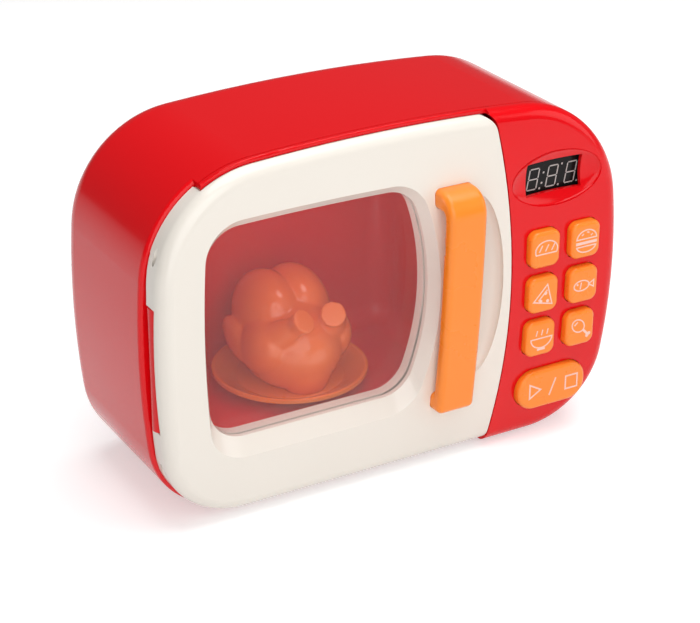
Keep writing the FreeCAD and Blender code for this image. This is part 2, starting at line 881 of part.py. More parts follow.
panel_block, panel_trim = front_block("panel_block", "no_inset", "no_inset", "face_y + bezel_depth", False)
ring_body = new_body("ring_block")
ring_outline = new_sketch(ring_body, "XZ_Plane", "no_inset - face_y - bezel_depth")
case_outline(ring_outline, "no_inset")
ring_pad = pad(ring_body, ring_outline, "bezel_depth")
ring_front = mm("face_y + door_gap")
round_edges(ring_body, ring_pad, "ring_edge", lambda edge: edge.BoundBox.YMax < ring_front)
horn_trim = box("horn_trim", ("no_inset", "face_y - front_depth - overrun", "seam_z"),
                ("horn_x", "front_depth + overrun", "case_height"))
LIP_FRONT = "face_y - lip_reach"
lip_outer, lip_slab = outline_slab("lip_outer", "no_inset", LIP_FRONT, "lip_reach + bezel_depth")
doc.recompute()
lip_edge = mm(LIP_FRONT + " + door_gap")
round_edges(lip_outer, lip_slab, "lip_round", lambda edge: edge.BoundBox.YMax < lip_edge)
lip_inner, lip_core = outline_slab("lip_inner", "lip_thick", LIP_FRONT + " - overrun", "overrun + overrun + overrun")
lip_reach_box = box("lip_reach_box", ("lip_left", LIP_FRONT, "seam_z"),
                    ("horn_x - lip_left + wall", "lip_reach + bezel_depth", "case_height"))
lip = doc.addObject("Part::MultiCommon", "lip")
lip.Shapes = [cut("lip_ring", lip_outer, [lip_inner]), lip_reach_box]
bezel_block = fuse("bezel_block", [cut("panel_front", panel_block, [horn_trim]), ring_body, lip])
groove_core, groove_slab = outline_slab("groove_core", "groove_deep", "face_y - groove_y", "groove_wide")
groove_box = box("groove_box", ("lip_left", "face_y - groove_y", "no_inset"),
                 ("case_width", "groove_wide", "case_height + overrun"))
groove = cut("groove", groove_box, [groove_core])
panel_core, core_trim = front_block("panel_core", "no_inset", "wall", "face_y + bezel_depth", False)
ring_hollow = new_body("ring_hollow")
hollow_sketch = new_sketch(ring_hollow, "XZ_Plane", "no_inset - face_y - plate_thick")
case_outline(hollow_sketch, "wall")
pad(ring_hollow, hollow_sketch, "bezel_depth").Reversed = True
mouth, mouth_tip = oven_prism("mouth", "no_inset", "face_y - overrun", "overrun + overrun")
dish_y = mm("face_y - front_depth") + bulge(size("display_z"))


def display_dish(name, grow):
    dish = egg(name, ("display_x", "", "display_z"), ("oval_half" + grow, "oval_depth" + grow, "oval_tall" + grow))
    dish.Placement.Base.y = dish_y
    return dish


board_spots = [(way * SIZES["boss_pitch_x"] + size("key_x"), up)
               for up in (size("boss_high_z"), size("boss_low_z")) for way in (-1, 1)]
core_keeps = [display_dish("dish_wall", " + wall")]
for number, (across, up) in enumerate(board_spots):
    boss = rod("board_boss_%d" % number, ("", "face_y - front_depth", ""), "boss_radius",
               "front_depth - board_y", "Y")
    boss.Placement.Base.x = across
    boss.Placement.Base.z = up
    core_keeps.append(boss)
TUBES = [(-size("left_tube_x"), size("left_tube_low")), (-size("left_tube_x"), size("left_tube_high")),
         (size("right_tube_x"), size("right_tube_low")), (size("right_tube_x"), size("right_tube_high"))]
case_bosses = []
for number, (across, up) in enumerate(TUBES):
    right = across > 0
    boss = rod("case_boss_%d" % number, ("", "face_y - front_depth + wall" if right else "face_y", ""), "boss_radius",
               "front_depth - wall + tube_front_y" if right else "tube_front_y", "Y")
    boss.Placement.Base.x = across
    boss.Placement.Base.z = up
    case_bosses.append(boss)
    if right:
        core_keeps.append(boss)
panel_hollow = cut("panel_hollow", panel_core, core_keeps)
bezel_cuts = [panel_hollow, ring_hollow, mouth, display_dish("dish", ""), groove]
bezel_cuts.append(box("display_window", ("display_x - display_wide/2", "face_y - front_depth - overrun",
                                         "display_z - display_tall/2"),
                      ("display_wide", "front_depth + overrun", "display_tall")))
for name, across, up, wide, tall, corner in KEYS:
    bezel_cuts.append(round_prism(name + "_hole", key_spot(across, up), wide + "/2 + key_fit",
                                  tall + "/2 + key_fit", corner + " + key_fit", "no_inset - overrun", "overrun/2"))
bezel_cuts.append(box("latch_slot", ("tongue_x - slot_clear", "face_y - overrun", "tongue_z - slot_clear"),
                      ("tongue_thick + slot_clear + slot_clear", "overrun + overrun/2",
                       "tongue_tall + slot_clear + slot_clear")))
bezel_shell = cut("bezel_shell", bezel_block, bezel_cuts)
hinge_barrel = rod("hinge_barrel", ("hinge_x", "face_y - hinge_y", "notch_low + hinge_clear"), "barrel_radius",
                   "notch_high - notch_low - hinge_clear - hinge_clear")
hinge_web = box("hinge_web", ("hinge_x - web_left", "face_y - hinge_y", "notch_low + hinge_clear"),
                ("web_left + barrel_radius", "hinge_y + plate_thick/2",
                 "notch_high - notch_low - hinge_clear - hinge_clear"))
bezel_solid = fuse("bezel_solid", [bezel_shell, hinge_barrel, hinge_web] + case_bosses)
bezel_bores = [rod("hinge_bore", ("hinge_x", "face_y - hinge_y", ""), "pin_radius + pin_fit", "case_height")]
for number, (across, up) in enumerate(TUBES):
    bore = rod("case_pilot_%d" % number, ("", "face_y + tube_front_y - screw_long", ""), "screw_radius + pin_fit",
               "screw_long + overrun", "Y")
    bore.Placement.Base.x = across
    bore.Placement.Base.z = up
    bezel_bores.append(bore)
for number, (across, up) in enumerate(board_spots):
    bore = rod("board_pilot_%d" % number, ("", "face_y - board_y - screw_long", ""), "screw_radius + pin_fit",
               "screw_long + overrun", "Y")
    bore.Placement.Base.x = across
    bore.Placement.Base.z = up
    bezel_bores.append(bore)
front_bezel = cut("front_bezel", bezel_solid, bezel_bores)

# Rear housing: a tub with a rounded back edge, screw tubes and the battery opening

def housing_block(name, skin):
    """The tub's outer form, or with a skin the hollow inside its wall, from the bezel to the back."""
    body = new_body(name)
    outline = new_sketch(body, "XZ_Plane", "no_inset - face_y - bezel_depth")
    case_outline(outline, skin)
    tub = pad(body, outline, less("case_depth - bezel_depth", skin))
    tub.Reversed = True
    doc.recompute()
    back = mm(less("face_y + case_depth", skin)) - mm("door_gap")
    return body, round_edges(body, tub, less("rear_edge", skin), lambda edge: edge.BoundBox.YMin > back)


housing_outer, outer_tip = housing_block("housing_outer", "no_inset")
housing_inner, inner_tip = housing_block("housing_inner", "wall")
housing_shell = cut("housing_shell", housing_outer, [housing_inner])

housing_tubes = []
housing_bores = []
for number, (across, up) in enumerate(TUBES):
    tube = rod("tube_%d" % number, ("", "face_y + tube_front_y", ""), "tube_radius",
               "case_depth - tube_front_y", "Y")
    bore = rod("tube_bore_%d" % number, ("", "face_y + tube_front_y + tube_floor", ""), "tube_bore",
               "case_depth", "Y")
    hole = rod("tube_hole_%d" % number, ("", "face_y", ""), "screw_radius + pin_fit", "case_depth", "Y")
    for thing in (tube, bore, hole):
        thing.Placement.Base.x = across
        thing.Placement.Base.z = up
    housing_tubes.append(tube)
    housing_bores.extend((bore, hole))
tube_inside = doc.addObject("Part::MultiCommon", "tube_inside")
tube_inside.Shapes = [fuse("tubes", housing_tubes), housing_outer]
BAY_HALF = "cell_radius + cell_radius + cell_radius + cell_gap + cell_gap"
BAY_TALL = "cell_long + cell_nub_tall + contact_thick + contact_thick"
TRAY_BACK = "face_y + case_depth - wall"


def cover_block(name, grow, front, length):
    """The battery cover's rectangle, grown by the sum grow, as a block along Y."""
    half = BAY_HALF + " + cover_lap + " + grow
    return box(name, (less("cell_x", half), front, less("cell_low_z - cover_lap", grow)),
               (half + " + " + half, length, BAY_TALL + " + cover_ear + cover_lap + " + grow + " + " + grow))


opening = cover_block("battery_opening", "cover_fit", TRAY_BACK + " - overrun", "overrun + overrun")
rear_housing = cut("rear_housing", fuse("housing_solid", [housing_shell, tube_inside]), housing_bores + [opening])

# Feet, glued under the flat of the base

feet = group("feet", [
    rod("foot_%d" % number, (side + "foot_reach_x", "face_y + " + depth, ""), "foot_radius", "foot_height")
    for number, (side, depth) in enumerate((side, depth) for side in ("- ", "") for depth in
                                           ("foot_front_y", "foot_back_y"))])

# Oven liner: a tub with a flange, posts for the gear deck, and collars for the loudspeaker and the lamp

liner_outer, liner_outer_tip = oven_prism("liner_outer", "liner_wall", "face_y + plate_thick",
                                          "oven_depth - plate_thick + liner_wall")
liner_inner, liner_inner_tip = oven_prism("liner_inner", "no_inset", "face_y", "oven_depth")
behind_oven = mm("face_y + oven_depth - overrun/2")
for body, tip, grow in ((liner_outer, liner_outer_tip, "liner_wall"), (liner_inner, liner_inner_tip, "no_inset")):
    round_edges(body, tip, "oven_back_edge + " + grow, lambda edge: edge.BoundBox.YMin > behind_oven)
flange, flange_tip = oven_prism("flange", "liner_wall + flange_wide", "face_y + plate_thick", "flange_thick")
deck_posts = [(way_x, way_y) for way_x in ("- post_left", "+ post_right") for way_y in ("- post_half", "+ post_half")]
post_solids = [rod("post_%d" % number, ("table_x " + x, "face_y + table_y " + y, "deck_low + deck_thick"),
                   "post_radius", "oven_floor - deck_low - deck_thick - liner_wall/2")
               for number, (x, y) in enumerate(deck_posts)]
post_bores = [rod("post_bore_%d" % number, ("table_x " + x, "face_y + table_y " + y, "deck_low"),
                  "screw_radius + pin_fit", "screw_long + deck_thick") for number, (x, y) in enumerate(deck_posts)]


def wall_ring(name, depth_y, up_z, radius, bore, deep):
    """A collar that stands on the outside of the oven's right wall."""
    outside = rod(name + "_out", ("oven_right + liner_wall/2", "face_y + " + depth_y, up_z), radius,
                  "liner_wall/2 + " + deep, "X")
    inside = rod(name + "_in", ("oven_right + liner_wall", "face_y + " + depth_y, up_z), bore,
                 deep + " + overrun", "X")
    return outside, inside


speaker_collar, speaker_well = wall_ring("speaker_collar", "speaker_y", "speaker_z",
                                         "speaker_radius + collar_fit + collar_wall", "speaker_radius + collar_fit",
                                         "collar_deep")
LAMP_WELL = "lamp_radius + lamp_rim + collar_fit"
lamp_collar, lamp_well = wall_ring("lamp_collar", "lamp_y", "lamp_z", LAMP_WELL + " + collar_wall", LAMP_WELL,
                                   "collar_deep")
lamp_hole = rod("lamp_hole", ("oven_right - overrun/2", "face_y + lamp_y", "lamp_z"), "lamp_radius + collar_fit",
                "overrun", "X")
speaker_slots = []
for number in range(SPEAKER_SLOTS):
    shift = (number - (SPEAKER_SLOTS - 1) / 2) * SIZES["slot_pitch"]
    slot = box("speaker_slot_%d" % number, ("oven_right - overrun/2", "", "speaker_z - slot_tall/2"),
               ("overrun", "slot_wide", "slot_tall"))
    slot.Placement.Base.y = mm("face_y + speaker_y - slot_wide/2") + shift
    speaker_slots.append(slot)
hub_hole = rod("hub_hole", ("table_x", "face_y + table_y", "deck_low + deck_thick"), "hub_radius + hub_fit",
               "oven_floor")
liner_solid = fuse("liner_solid", [liner_outer, flange, speaker_collar, lamp_collar] + post_solids)
cavity_liner = cut("cavity_liner", liner_solid, [liner_inner, speaker_well, lamp_well, lamp_hole, hub_hole]
                   + speaker_slots + post_bores)

# Screws: one pan-head screw with a slot, copied wherever pieces are screwed together

screw_head = rod("screw_head_solid", ("", "", ""), "screw_head", "screw_head_tall")
screw_shank = rod("screw_shank", ("", "", "no_inset - screw_long"), "screw_radius", "screw_long + screw_head_tall/2")
screw_slot = box("screw_slot_cut", ("- screw_head", "- screw_slot/2", "screw_head_tall - screw_slot_deep"),
                 ("screw_head + screw_head", "screw_slot", "screw_head_tall"))
screw = cut("screw", fuse("screw_solid", [screw_head, screw_shank]), [screw_slot])
TO_BACK = AXIS_TURNS["Y"]
TO_BASE = FreeCAD.Rotation(FreeCAD.Vector(1, 0, 0), 180)
tube_seat = mm("face_y + tube_front_y + tube_floor")
case_screws = copies("case_screws", screw, [(x, tube_seat, z) for x, z in TUBES], TO_BACK)

# Door frame: a bowed shell with a dished window, a finger recess, seats for the handle and hinge knuckles

door_block, door_trim = front_block("door_block", "door_inset", "no_inset", "face_y - door_gap", True)
door_core, door_core_trim = front_block("door_core", "door_inset", "wall", "face_y - door_gap", True)


def window_outline(sketch, grow):
    side = (less("window_left", grow), "window_mid_z"), ("window_right + " + grow, "window_mid_z")
    radii = ("window_left_radius + " + grow, "window_right_radius + " + grow, "window_top_radius + " + grow)
    corner = "window_corner + " + grow
    pillow(sketch, side[0], side[1], less("window_low", grow),
           ("window_left/2 + window_right/2", "window_high + " + grow), radii, (corner, corner))


def ridge_outline(sketch, grow):
    side = ((less("window_left - dish_left", grow), "window_mid_z"),
            ("window_right + dish_right + " + grow, "window_mid_z"))
    radii = ("window_left_radius + " + grow, "dish_right_radius + " + grow, "window_top_radius + " + grow)
    corner = "dish_corner + " + grow
    pillow(sketch, side[0], side[1], less("window_low - dish_low", grow),
           ("window_left/2 + window_right/2", "window_high + dish_high + " + grow), radii, (corner, corner))


def window_dish(name, grow):
    """The dish that leads from its ridge on the door's face down to the window."""
    body = new_body(name)
    ridge = new_sketch(body, "XZ_Plane", "front_depth - face_y + dish_lead")
    ridge_outline(ridge, grow)
    edge = new_sketch(body, "XZ_Plane", less("front_depth - face_y - dish_depth", grow))
    window_outline(edge, grow)
    dish = body.newObject("PartDesign::AdditiveLoft", name + "_loft")
    dish.Profile = ridge
    dish.Sections = [edge]
    dish.Ruled = True
    return body


def window_prism(name, grow, front, length):
    body = new_body(name)
    outline = new_sketch(body, "XZ_Plane", less("no_inset", front))
    window_outline(outline, grow)
    pad(body, outline, length).Reversed = True
    return body


def finger_recess(name, grow):
    return egg(name, ("recess_x", "face_y - front_depth + recess_lead", "recess_z"),
               ("recess_half" + grow, "recess_depth" + grow, "recess_tall" + grow))


def notch(name, grow):
    """The room for the bezel's hinge barrel at the door's left edge."""
    front = less("face_y - hinge_y - notch_front", grow)
    return box(name, ("- case_width/2 - overrun", front, less("notch_low", grow)),
               ("case_width/2 + overrun + hinge_x + notch_reach + " + grow, "front_depth + overrun",
                "notch_high - notch_low + " + grow + " + " + grow))


FOOT_SPOTS = ("handle_high - handle_foot/2", "handle_low + handle_foot/2")
DOOR_SCREWS = (("door_screw_left", "door_screw_high"), ("door_screw_left", "door_screw_low"),
               ("door_screw_right", "door_screw_top"), ("door_screw_right", "door_screw_base"))


def handle_seat(name, up, grow, front, back):
    spot = (mm("handle_x"), mm("face_y - front_depth"), mm(up))
    return round_prism(name, spot, "handle_width/2 + handle_fit + " + grow, "handle_foot/2 + handle_fit + " + grow,
                       "handle_round + handle_fit + " + grow, front, back)


door_keeps = [window_dish("window_dish_wall", "wall"), finger_recess("recess_wall", " + wall"),
              notch("notch_wall", "wall")]
for number, up in enumerate(FOOT_SPOTS):
    door_keeps.append(handle_seat("seat_boss_%d" % number, up, "wall", "no_inset", "handle_seat + wall"))
KNUCKLES = ("notch_low - knuckle_tall", "notch_high")
for number, low in enumerate(KNUCKLES):
    door_keeps.append(rod("knuckle_%d" % number, ("hinge_x", "face_y - hinge_y", low), "knuckle_radius",
                          "knuckle_tall"))
for number, (across, up) in enumerate(DOOR_SCREWS):
    door_keeps.append(rod("door_boss_%d" % number, (across, "face_y - front_depth + wall/2", up), "boss_radius",
                          "front_depth - door_gap - inner_panel - panel_boss_tall - wall/2", "Y"))
door_hollow = cut("door_hollow", door_core, door_keeps)
swing_box = box("swing_box", ("- case_width/2 - overrun", "face_y - hinge_y", ""),
                ("case_width/2 + overrun + hinge_x", "hinge_y + overrun", "case_height"))
swing_room = cut("swing_room", swing_box, [rod("swing_rod", ("hinge_x", "face_y - hinge_y", ""), "knuckle_radius",
                                               "case_height")])
lip_under, lip_under_slab = outline_slab("lip_under", "lip_thick + seam_gap", LIP_FRONT + " - seam_gap - overrun",
                                         "overrun + overrun + overrun")
lip_above = box("lip_above", ("lip_left - seam_gap", LIP_FRONT + " - seam_gap", "seam_z"),
                ("case_width", "lip_reach + seam_gap + overrun", "case_height"))
lip_room = cut("lip_room", lip_above, [lip_under])
door_cuts = [door_hollow, lip_room, window_dish("window_dish_room", "no_inset"), finger_recess("recess_room", ""),
             notch("notch_room", "no_inset"), swing_room,
             window_prism("window_room", "no_inset", "face_y - front_depth", "front_depth"),
             rod("door_hinge_bore", ("hinge_x", "face_y - hinge_y", ""), "pin_radius + pin_fit", "case_height")]
for number, up in enumerate(FOOT_SPOTS):
    door_cuts.append(handle_seat("seat_room_%d" % number, up, "no_inset", "no_inset - overrun", "handle_seat"))
    door_cuts.append(rod("seat_hole_%d" % number, ("handle_x", "face_y - front_depth", up), "screw_radius + pin_fit",
                         "front_depth", "Y"))
for number, (across, up) in enumerate(DOOR_SCREWS):
    door_cuts.append(rod("door_pilot_%d" % number, (across, "face_y - door_gap - inner_panel - screw_long", up),
                         "screw_radius + pin_fit", "screw_long", "Y"))
door_frame = cut("door_frame", door_block, door_cuts)

# Window pane, and the inner panel that clamps it

window_pane = window_prism("window_pane", "pane_lap", "face_y - front_depth + dish_depth + wall", "pane_thick")
panel_plate = new_body("panel_plate")
panel_outline = new_sketch(panel_plate, "XZ_Plane", "door_gap - face_y")
case_outline(panel_outline, "door_inset + wall + panel_fit")
pad(panel_plate, panel_outline, "inner_panel")
panel_side = new_sketch(panel_plate, "XZ_Plane", "overrun - face_y")
seam_side(panel_side, "no_inset - seam_gap/2 - wall - panel_fit", "door_inset + wall + panel_fit", True)
pocket(panel_plate, panel_side, "overrun")
clamp_rim = window_prism("clamp_rim", "pane_lap", "face_y - front_depth + dish_depth + wall + pane_thick",
                         "front_depth - dish_depth - wall - pane_thick - door_gap - inner_panel/2")
panel_solids = [panel_plate, clamp_rim]
panel_cuts = [window_prism("panel_window", "no_inset", "face_y - front_depth", "front_depth"),
              notch("panel_notch", "wall + panel_fit"), swing_room]
for number, low in enumerate(KNUCKLES):
    panel_cuts.append(rod("panel_knuckle_%d" % number, ("hinge_x", "face_y - hinge_y", low + " - panel_fit"),
                          "knuckle_radius + panel_fit", "knuckle_tall + panel_fit + panel_fit"))
HEAD_SEAT = "face_y - door_gap - screw_head_tall"
for number, (across, up) in enumerate(DOOR_SCREWS):
    panel_solids.append(rod("panel_boss_%d" % number,
                            (across, "face_y - door_gap - inner_panel - panel_boss_tall", up), "panel_boss",
                            "panel_boss_tall + inner_panel/2", "Y"))
    panel_cuts.append(rod("panel_head_%d" % number, (across, HEAD_SEAT, up), "screw_head + handle_fit",
                          "overrun", "Y"))
    panel_cuts.append(rod("panel_hole_%d" % number, (across, "face_y - front_depth", up), "screw_radius + pin_fit",
                          "front_depth", "Y"))
tongue_room = box("tongue_room", ("tongue_x - handle_fit", "face_y - front_depth", "tongue_z - handle_fit"),
                  ("case_width", "front_depth", "tongue_tall + handle_fit + handle_fit"))
door_inner_panel = cut("door_inner_panel", fuse("panel_solid", panel_solids), panel_cuts + [tongue_room])
door_screws = copies("door_screws", screw, [(mm(x), mm(HEAD_SEAT), mm(z)) for x, z in DOOR_SCREWS], TO_BACK)

# Bow handle

handle_body = new_body("handle_body")
handle_sketch = new_sketch(handle_body, "YZ_Plane", "no_inset - handle_width/2 + handle_x")
NOSE = "face_y - front_depth"
bow_middle = (mm(NOSE + " - handle_reach + handle_bow"), mm("handle_high"))


def bow_spot(radius, up):
    """The point of the bow of that radius at height up, and its turn about the middle."""
    turn = math.asin((up - bow_middle[1]) / radius)
    return (bow_middle[0] - radius * math.cos(turn), up), math.pi - turn


outer_bow, inner_bow = mm("handle_bow"), mm("handle_bow - handle_thick")
seat_y = mm(NOSE + " + handle_seat")
front_low, front_low_turn = bow_spot(outer_bow, mm("handle_low"))
inner_low, inner_low_turn = bow_spot(inner_bow, mm("handle_low + handle_foot"))
inner_high, inner_high_turn = bow_spot(inner_bow, mm("handle_high - handle_foot"))
front_high = (mm(NOSE + " - handle_reach"), mm("handle_high"))
handle_sketch.addGeometry([
    line((seat_y, front_high[1]), front_high),
    arc(bow_middle, outer_bow, math.pi, front_low_turn),
    line(front_low, (seat_y, front_low[1])),
    line((seat_y, front_low[1]), (seat_y, inner_low[1])),
    line((seat_y, inner_low[1]), inner_low),
    arc(bow_middle, inner_bow, inner_high_turn, inner_low_turn),
    line(inner_high, (seat_y, inner_high[1])),
    line((seat_y, inner_high[1]), (seat_y, front_high[1])),
], False)
for first, end, second, start in ((0, 2, 1, 1), (1, 2, 2, 1), (2, 2, 3, 1), (3, 2, 4, 1), (4, 2, 5, 2), (5, 1, 6, 1),
                                  (6, 2, 7, 1), (7, 2, 0, 1)):
    handle_sketch.addConstraint(Sketcher.Constraint("Coincident", first, end, second, start))
for number in (0, 2, 4, 6):
    handle_sketch.addConstraint(Sketcher.Constraint("Horizontal", number))
for number in (3, 7):
    handle_sketch.addConstraint(Sketcher.Constraint("Vertical", number))
tie(handle_sketch, "DistanceX", (-1, 1, 1, 3), NOSE + " - handle_reach + handle_bow")
tie(handle_sketch, "DistanceY", (-1, 1, 1, 3), "handle_high")
tie(handle_sketch, "Radius", (1,), "handle_bow")
tie(handle_sketch, "Radius", (5,), "handle_bow - handle_thick")
handle_sketch.addConstraint(Sketcher.Constraint("Coincident", 1, 3, 5, 3))
tie(handle_sketch, "DistanceX", (-1, 1, 7, 1), NOSE + " + handle_seat")
tie(handle_sketch, "DistanceX", (-1, 1, 3, 1), NOSE + " + handle_seat")
tie(handle_sketch, "DistanceY", (-1, 1, 0, 1), "handle_high")
tie(handle_sketch, "DistanceY", (-1, 1, 6, 1), "handle_high - handle_foot")
tie(handle_sketch, "DistanceY", (-1, 1, 2, 1), "handle_low")
tie(handle_sketch, "DistanceY", (-1, 1, 4, 1), "handle_low + handle_foot")
handle_pad = pad(handle_body, handle_sketch, "handle_width")


def runs_along_x(edge):
    return edge.BoundBox.XLength > max(edge.BoundBox.YLength, edge.BoundBox.ZLength)


ends_inside = (mm("handle_low") + mm("handle_foot/2"), mm("handle_high") - mm("handle_foot/2"))
ahead_of_seat = mm(NOSE + " + handle_seat - handle_fit")
half_way = mm("handle_low/2 + handle_high/2")
inner_bend = round_edges(handle_body, handle_pad, "handle_inner", lambda edge: runs_along_x(edge) and
                         edge.BoundBox.YMax < ahead_of_seat and half_way < edge.BoundBox.ZMin < ends_inside[1])
outer_bend = round_edges(handle_body, inner_bend, "handle_bend", lambda edge: runs_along_x(edge) and
                         edge.BoundBox.YMax < mm(NOSE) and edge.BoundBox.ZMin > ends_inside[1])
toe_bend = round_edges(handle_body, outer_bend, "handle_toe", lambda edge: runs_along_x(edge) and
                       edge.BoundBox.YMax < mm(NOSE) and edge.BoundBox.ZMax < ends_inside[0])
round_edges(handle_body, toe_bend, "handle_round",
            lambda edge: not runs_along_x(edge) and edge.BoundBox.YMin < ahead_of_seat)
handle_pilots = [rod("handle_pilot_%d" % number, ("handle_x", NOSE + " + handle_seat + wall - screw_long", up),
                     "screw_radius + pin_fit", "overrun", "Y") for number, up in enumerate(FOOT_SPOTS)]
door_handle = cut("door_handle", handle_body, handle_pilots)
handle_screws = copies("handle_screws", screw, [(mm("handle_x"), mm(NOSE + " + handle_seat + wall"), mm(up))
                                                for up in FOOT_SPOTS], TO_BACK)

# Latch: a tongue held behind the inner panel, and a sheet clip behind the slot in the bezel

tongue_blade = box("tongue_blade", ("tongue_x", "face_y - door_gap - inner_panel - tongue_foot_thick", "tongue_z"),
                   ("tongue_thick", "door_gap + inner_panel + tongue_foot_thick + tongue_reach", "tongue_tall"))
tongue_foot = box("tongue_foot_plate",
                  ("tongue_x - tongue_foot", "face_y - door_gap - inner_panel - tongue_foot_thick", "tongue_z"),
                  ("tongue_foot + tongue_thick", "tongue_foot_thick", "tongue_tall"))
latch_tongue = fuse("latch_tongue", [tongue_blade, tongue_foot])
CLIP_FRONT = "face_y + plate_thick"
clip_arms = [box("clip_arm_%d" % number, (across, CLIP_FRONT, "tongue_z"), ("clip_sheet", "clip_deep", "tongue_tall"))
             for number, across in enumerate(("tongue_x - clip_clear - clip_sheet",
                                              "tongue_x + tongue_thick + clip_clear"))]
clip_web = box("clip_web",
               ("tongue_x - clip_clear - clip_sheet", CLIP_FRONT + " + clip_deep - clip_sheet", "tongue_z"),
               ("tongue_thick + clip_clear + clip_clear + clip_sheet + clip_sheet", "clip_sheet", "tongue_tall"))
clip_foot = box("clip_foot", ("tongue_x + tongue_thick + clip_clear", CLIP_FRONT, "tongue_z"),
                ("clip_flange", "clip_sheet", "tongue_tall"))
latch_clip = fuse("latch_clip", clip_arms + [clip_web, clip_foot])
hinge_pin = rod("hinge_pin", ("hinge_x", "face_y - hinge_y", "notch_low - pin_overlap"), "pin_radius",
                "notch_high - notch_low + pin_overlap + pin_overlap")

# Keys: rounded caps with a lip behind the panel and a stem that reaches for the switch

STEM_END = mm("face_y - board_y - switch_tall - plunger_tall - key_travel - press_clear")
keys = []
for name, across, up, wide, tall, corner in KEYS:
    spot = key_spot(across, up)
    cap = round_prism(name + "_cap", spot, wide + "/2", tall + "/2", corner, "no_inset - key_proud", "key_seat")
    front_edge = mm("- key_proud") + mm("key_round/2")
    round_edges(cap, cap.Tip, "key_round", lambda edge: edge.BoundBox.YMax < front_edge)
    lip = round_prism(name + "_lip", spot, wide + "/2 + key_lip", tall + "/2 + key_lip", corner + " + key_lip",
                      "key_seat", "key_seat + key_lip_thick")
    stem = doc.addObject("Part::Cylinder", name + "_stem")
    bind(stem, "Radius", "stem_radius")
    lip_front = spot[1] + mm("key_seat")
    stem.Height = STEM_END - lip_front
    stem.Placement = FreeCAD.Placement(FreeCAD.Vector(spot[0], lip_front, spot[2]), AXIS_TURNS["Y"])
    keys.append(fuse(name, [cap, lip, stem]))

# Control board with its switches, display and screws

BOARD_FRONT = "face_y - board_y"
board_body = new_body("board_body")
board_sketch = new_sketch(board_body, "XZ_Plane", "board_y - face_y")
polygon(board_sketch, (("board_left", "board_low"), ("board_right - board_cut", "board_low"),
                       ("board_right", "board_low + board_cut"), ("board_right", "board_high"),
                       ("board_left", "board_high")))
pad(board_body, board_sketch, "board_thick").Reversed = True
board_holes = []
for number, (across, up) in enumerate(board_spots):
    hole = rod("board_hole_%d" % number, ("", "face_y - front_depth", ""), "screw_radius + pin_fit",
               "case_depth", "Y")
    hole.Placement.Base.x = across
    hole.Placement.Base.z = up
    board_holes.append(hole)
control_board = cut("control_board", board_body, board_holes)
board_back = mm(BOARD_FRONT + " + board_thick")
board_screws = copies("board_screws", screw, [(x, board_back, z) for x, z in board_spots], TO_BACK)
switch_case = box("switch_case", ("- switch_size/2", "- switch_tall", "- switch_size/2"),
                  ("switch_size", "switch_tall", "switch_size"))
switch_plunger = rod("switch_plunger", ("", "- switch_tall - plunger_tall", ""), "plunger_radius",
                     "plunger_tall + switch_tall/2", "Y")
switch = fuse("switch", [switch_case, switch_plunger])
key_switches = copies("key_switches", switch, [(across, mm(BOARD_FRONT), up) for name, across, up, wide, tall, corner
                                               in KEYS])
display_module = box("display_module", ("display_x - display_wide/2 - module_rim", BOARD_FRONT + " - module_thick",
                                        "display_z - display_tall/2 - module_rim"),
                     ("display_wide + module_rim + module_rim", "module_thick",
                      "display_tall + module_rim + module_rim"))

# Loudspeaker and lamp on the oven's right wall

SPEAKER_AT = ("face_y + speaker_y", "speaker_z")
speaker_disc = rod("speaker_disc", ("oven_right + liner_wall",) + SPEAKER_AT, "speaker_radius", "speaker_rim", "X")
speaker_magnet = rod("speaker_magnet", ("oven_right + liner_wall",) + SPEAKER_AT, "magnet_radius",
                     "speaker_rim + magnet_deep", "X")
speaker = fuse("speaker", [speaker_disc, speaker_magnet])
LAMP_AT = ("face_y + lamp_y", "lamp_z")
lens_dome = egg("lens_dome_solid", ("oven_right",) + LAMP_AT, ("lens_dome", "lamp_radius", "lamp_radius"))
lens_stem = rod("lens_stem", ("oven_right",) + LAMP_AT, "lamp_radius", "liner_wall + lamp_rim", "X")
lens_rim = rod("lens_rim", ("oven_right + liner_wall",) + LAMP_AT, "lamp_radius + lamp_rim", "lamp_rim", "X")
lamp_lens = fuse("lamp_lens", [lens_dome, lens_stem, lens_rim])
lamp_led = rod("lamp_led", ("oven_right + liner_wall + lamp_rim",) + LAMP_AT, "led_radius", "led_long", "X")

# Battery box: a tray behind the back wall, three cells, their contacts, and a cover with one screw

BAY_TOP = "cell_low_z + " + BAY_TALL
tray_half = BAY_HALF + " + tray_wall"
tray_tall = BAY_TALL + " + cover_ear + tray_wall + tray_wall"
tray_block = box("tray_block", (less("cell_x", tray_half), TRAY_BACK + " - tray_deep", "cell_low_z - tray_wall"),
                 (tray_half + " + " + tray_half, "tray_deep", tray_tall))
rim_half = tray_half + " + tray_rim"
tray_flange = box("tray_flange",
                  (less("cell_x", rim_half), TRAY_BACK + " - tray_wall", "cell_low_z - tray_wall - tray_rim"),
                  (rim_half + " + " + rim_half, "tray_wall", tray_tall + " + tray_rim + tray_rim"))
bay = box("battery_bay", (less("cell_x", BAY_HALF), TRAY_BACK + " - tray_deep + tray_wall", "cell_low_z"),
          (BAY_HALF + " + " + BAY_HALF, "tray_deep + overrun", BAY_TALL))
ear_room = box("ear_room", (less("cell_x", BAY_HALF), TRAY_BACK + " - tray_deep - overrun", BAY_TOP + " + tray_wall"),
               (BAY_HALF + " + " + BAY_HALF, "overrun + tray_deep - screw_long", "cover_ear"))
COVER_SCREW_Z = BAY_TOP + " + cover_ear/2"
COVER_SEAT = "face_y + case_depth - screw_head_tall"
cover_pilot = rod("cover_pilot", ("cell_x", "face_y", COVER_SCREW_Z), "screw_radius + pin_fit",
                  "case_depth + overrun", "Y")
battery_tray = cut("battery_tray", fuse("tray_solid", [tray_block, tray_flange]), [bay, ear_room, cover_pilot])
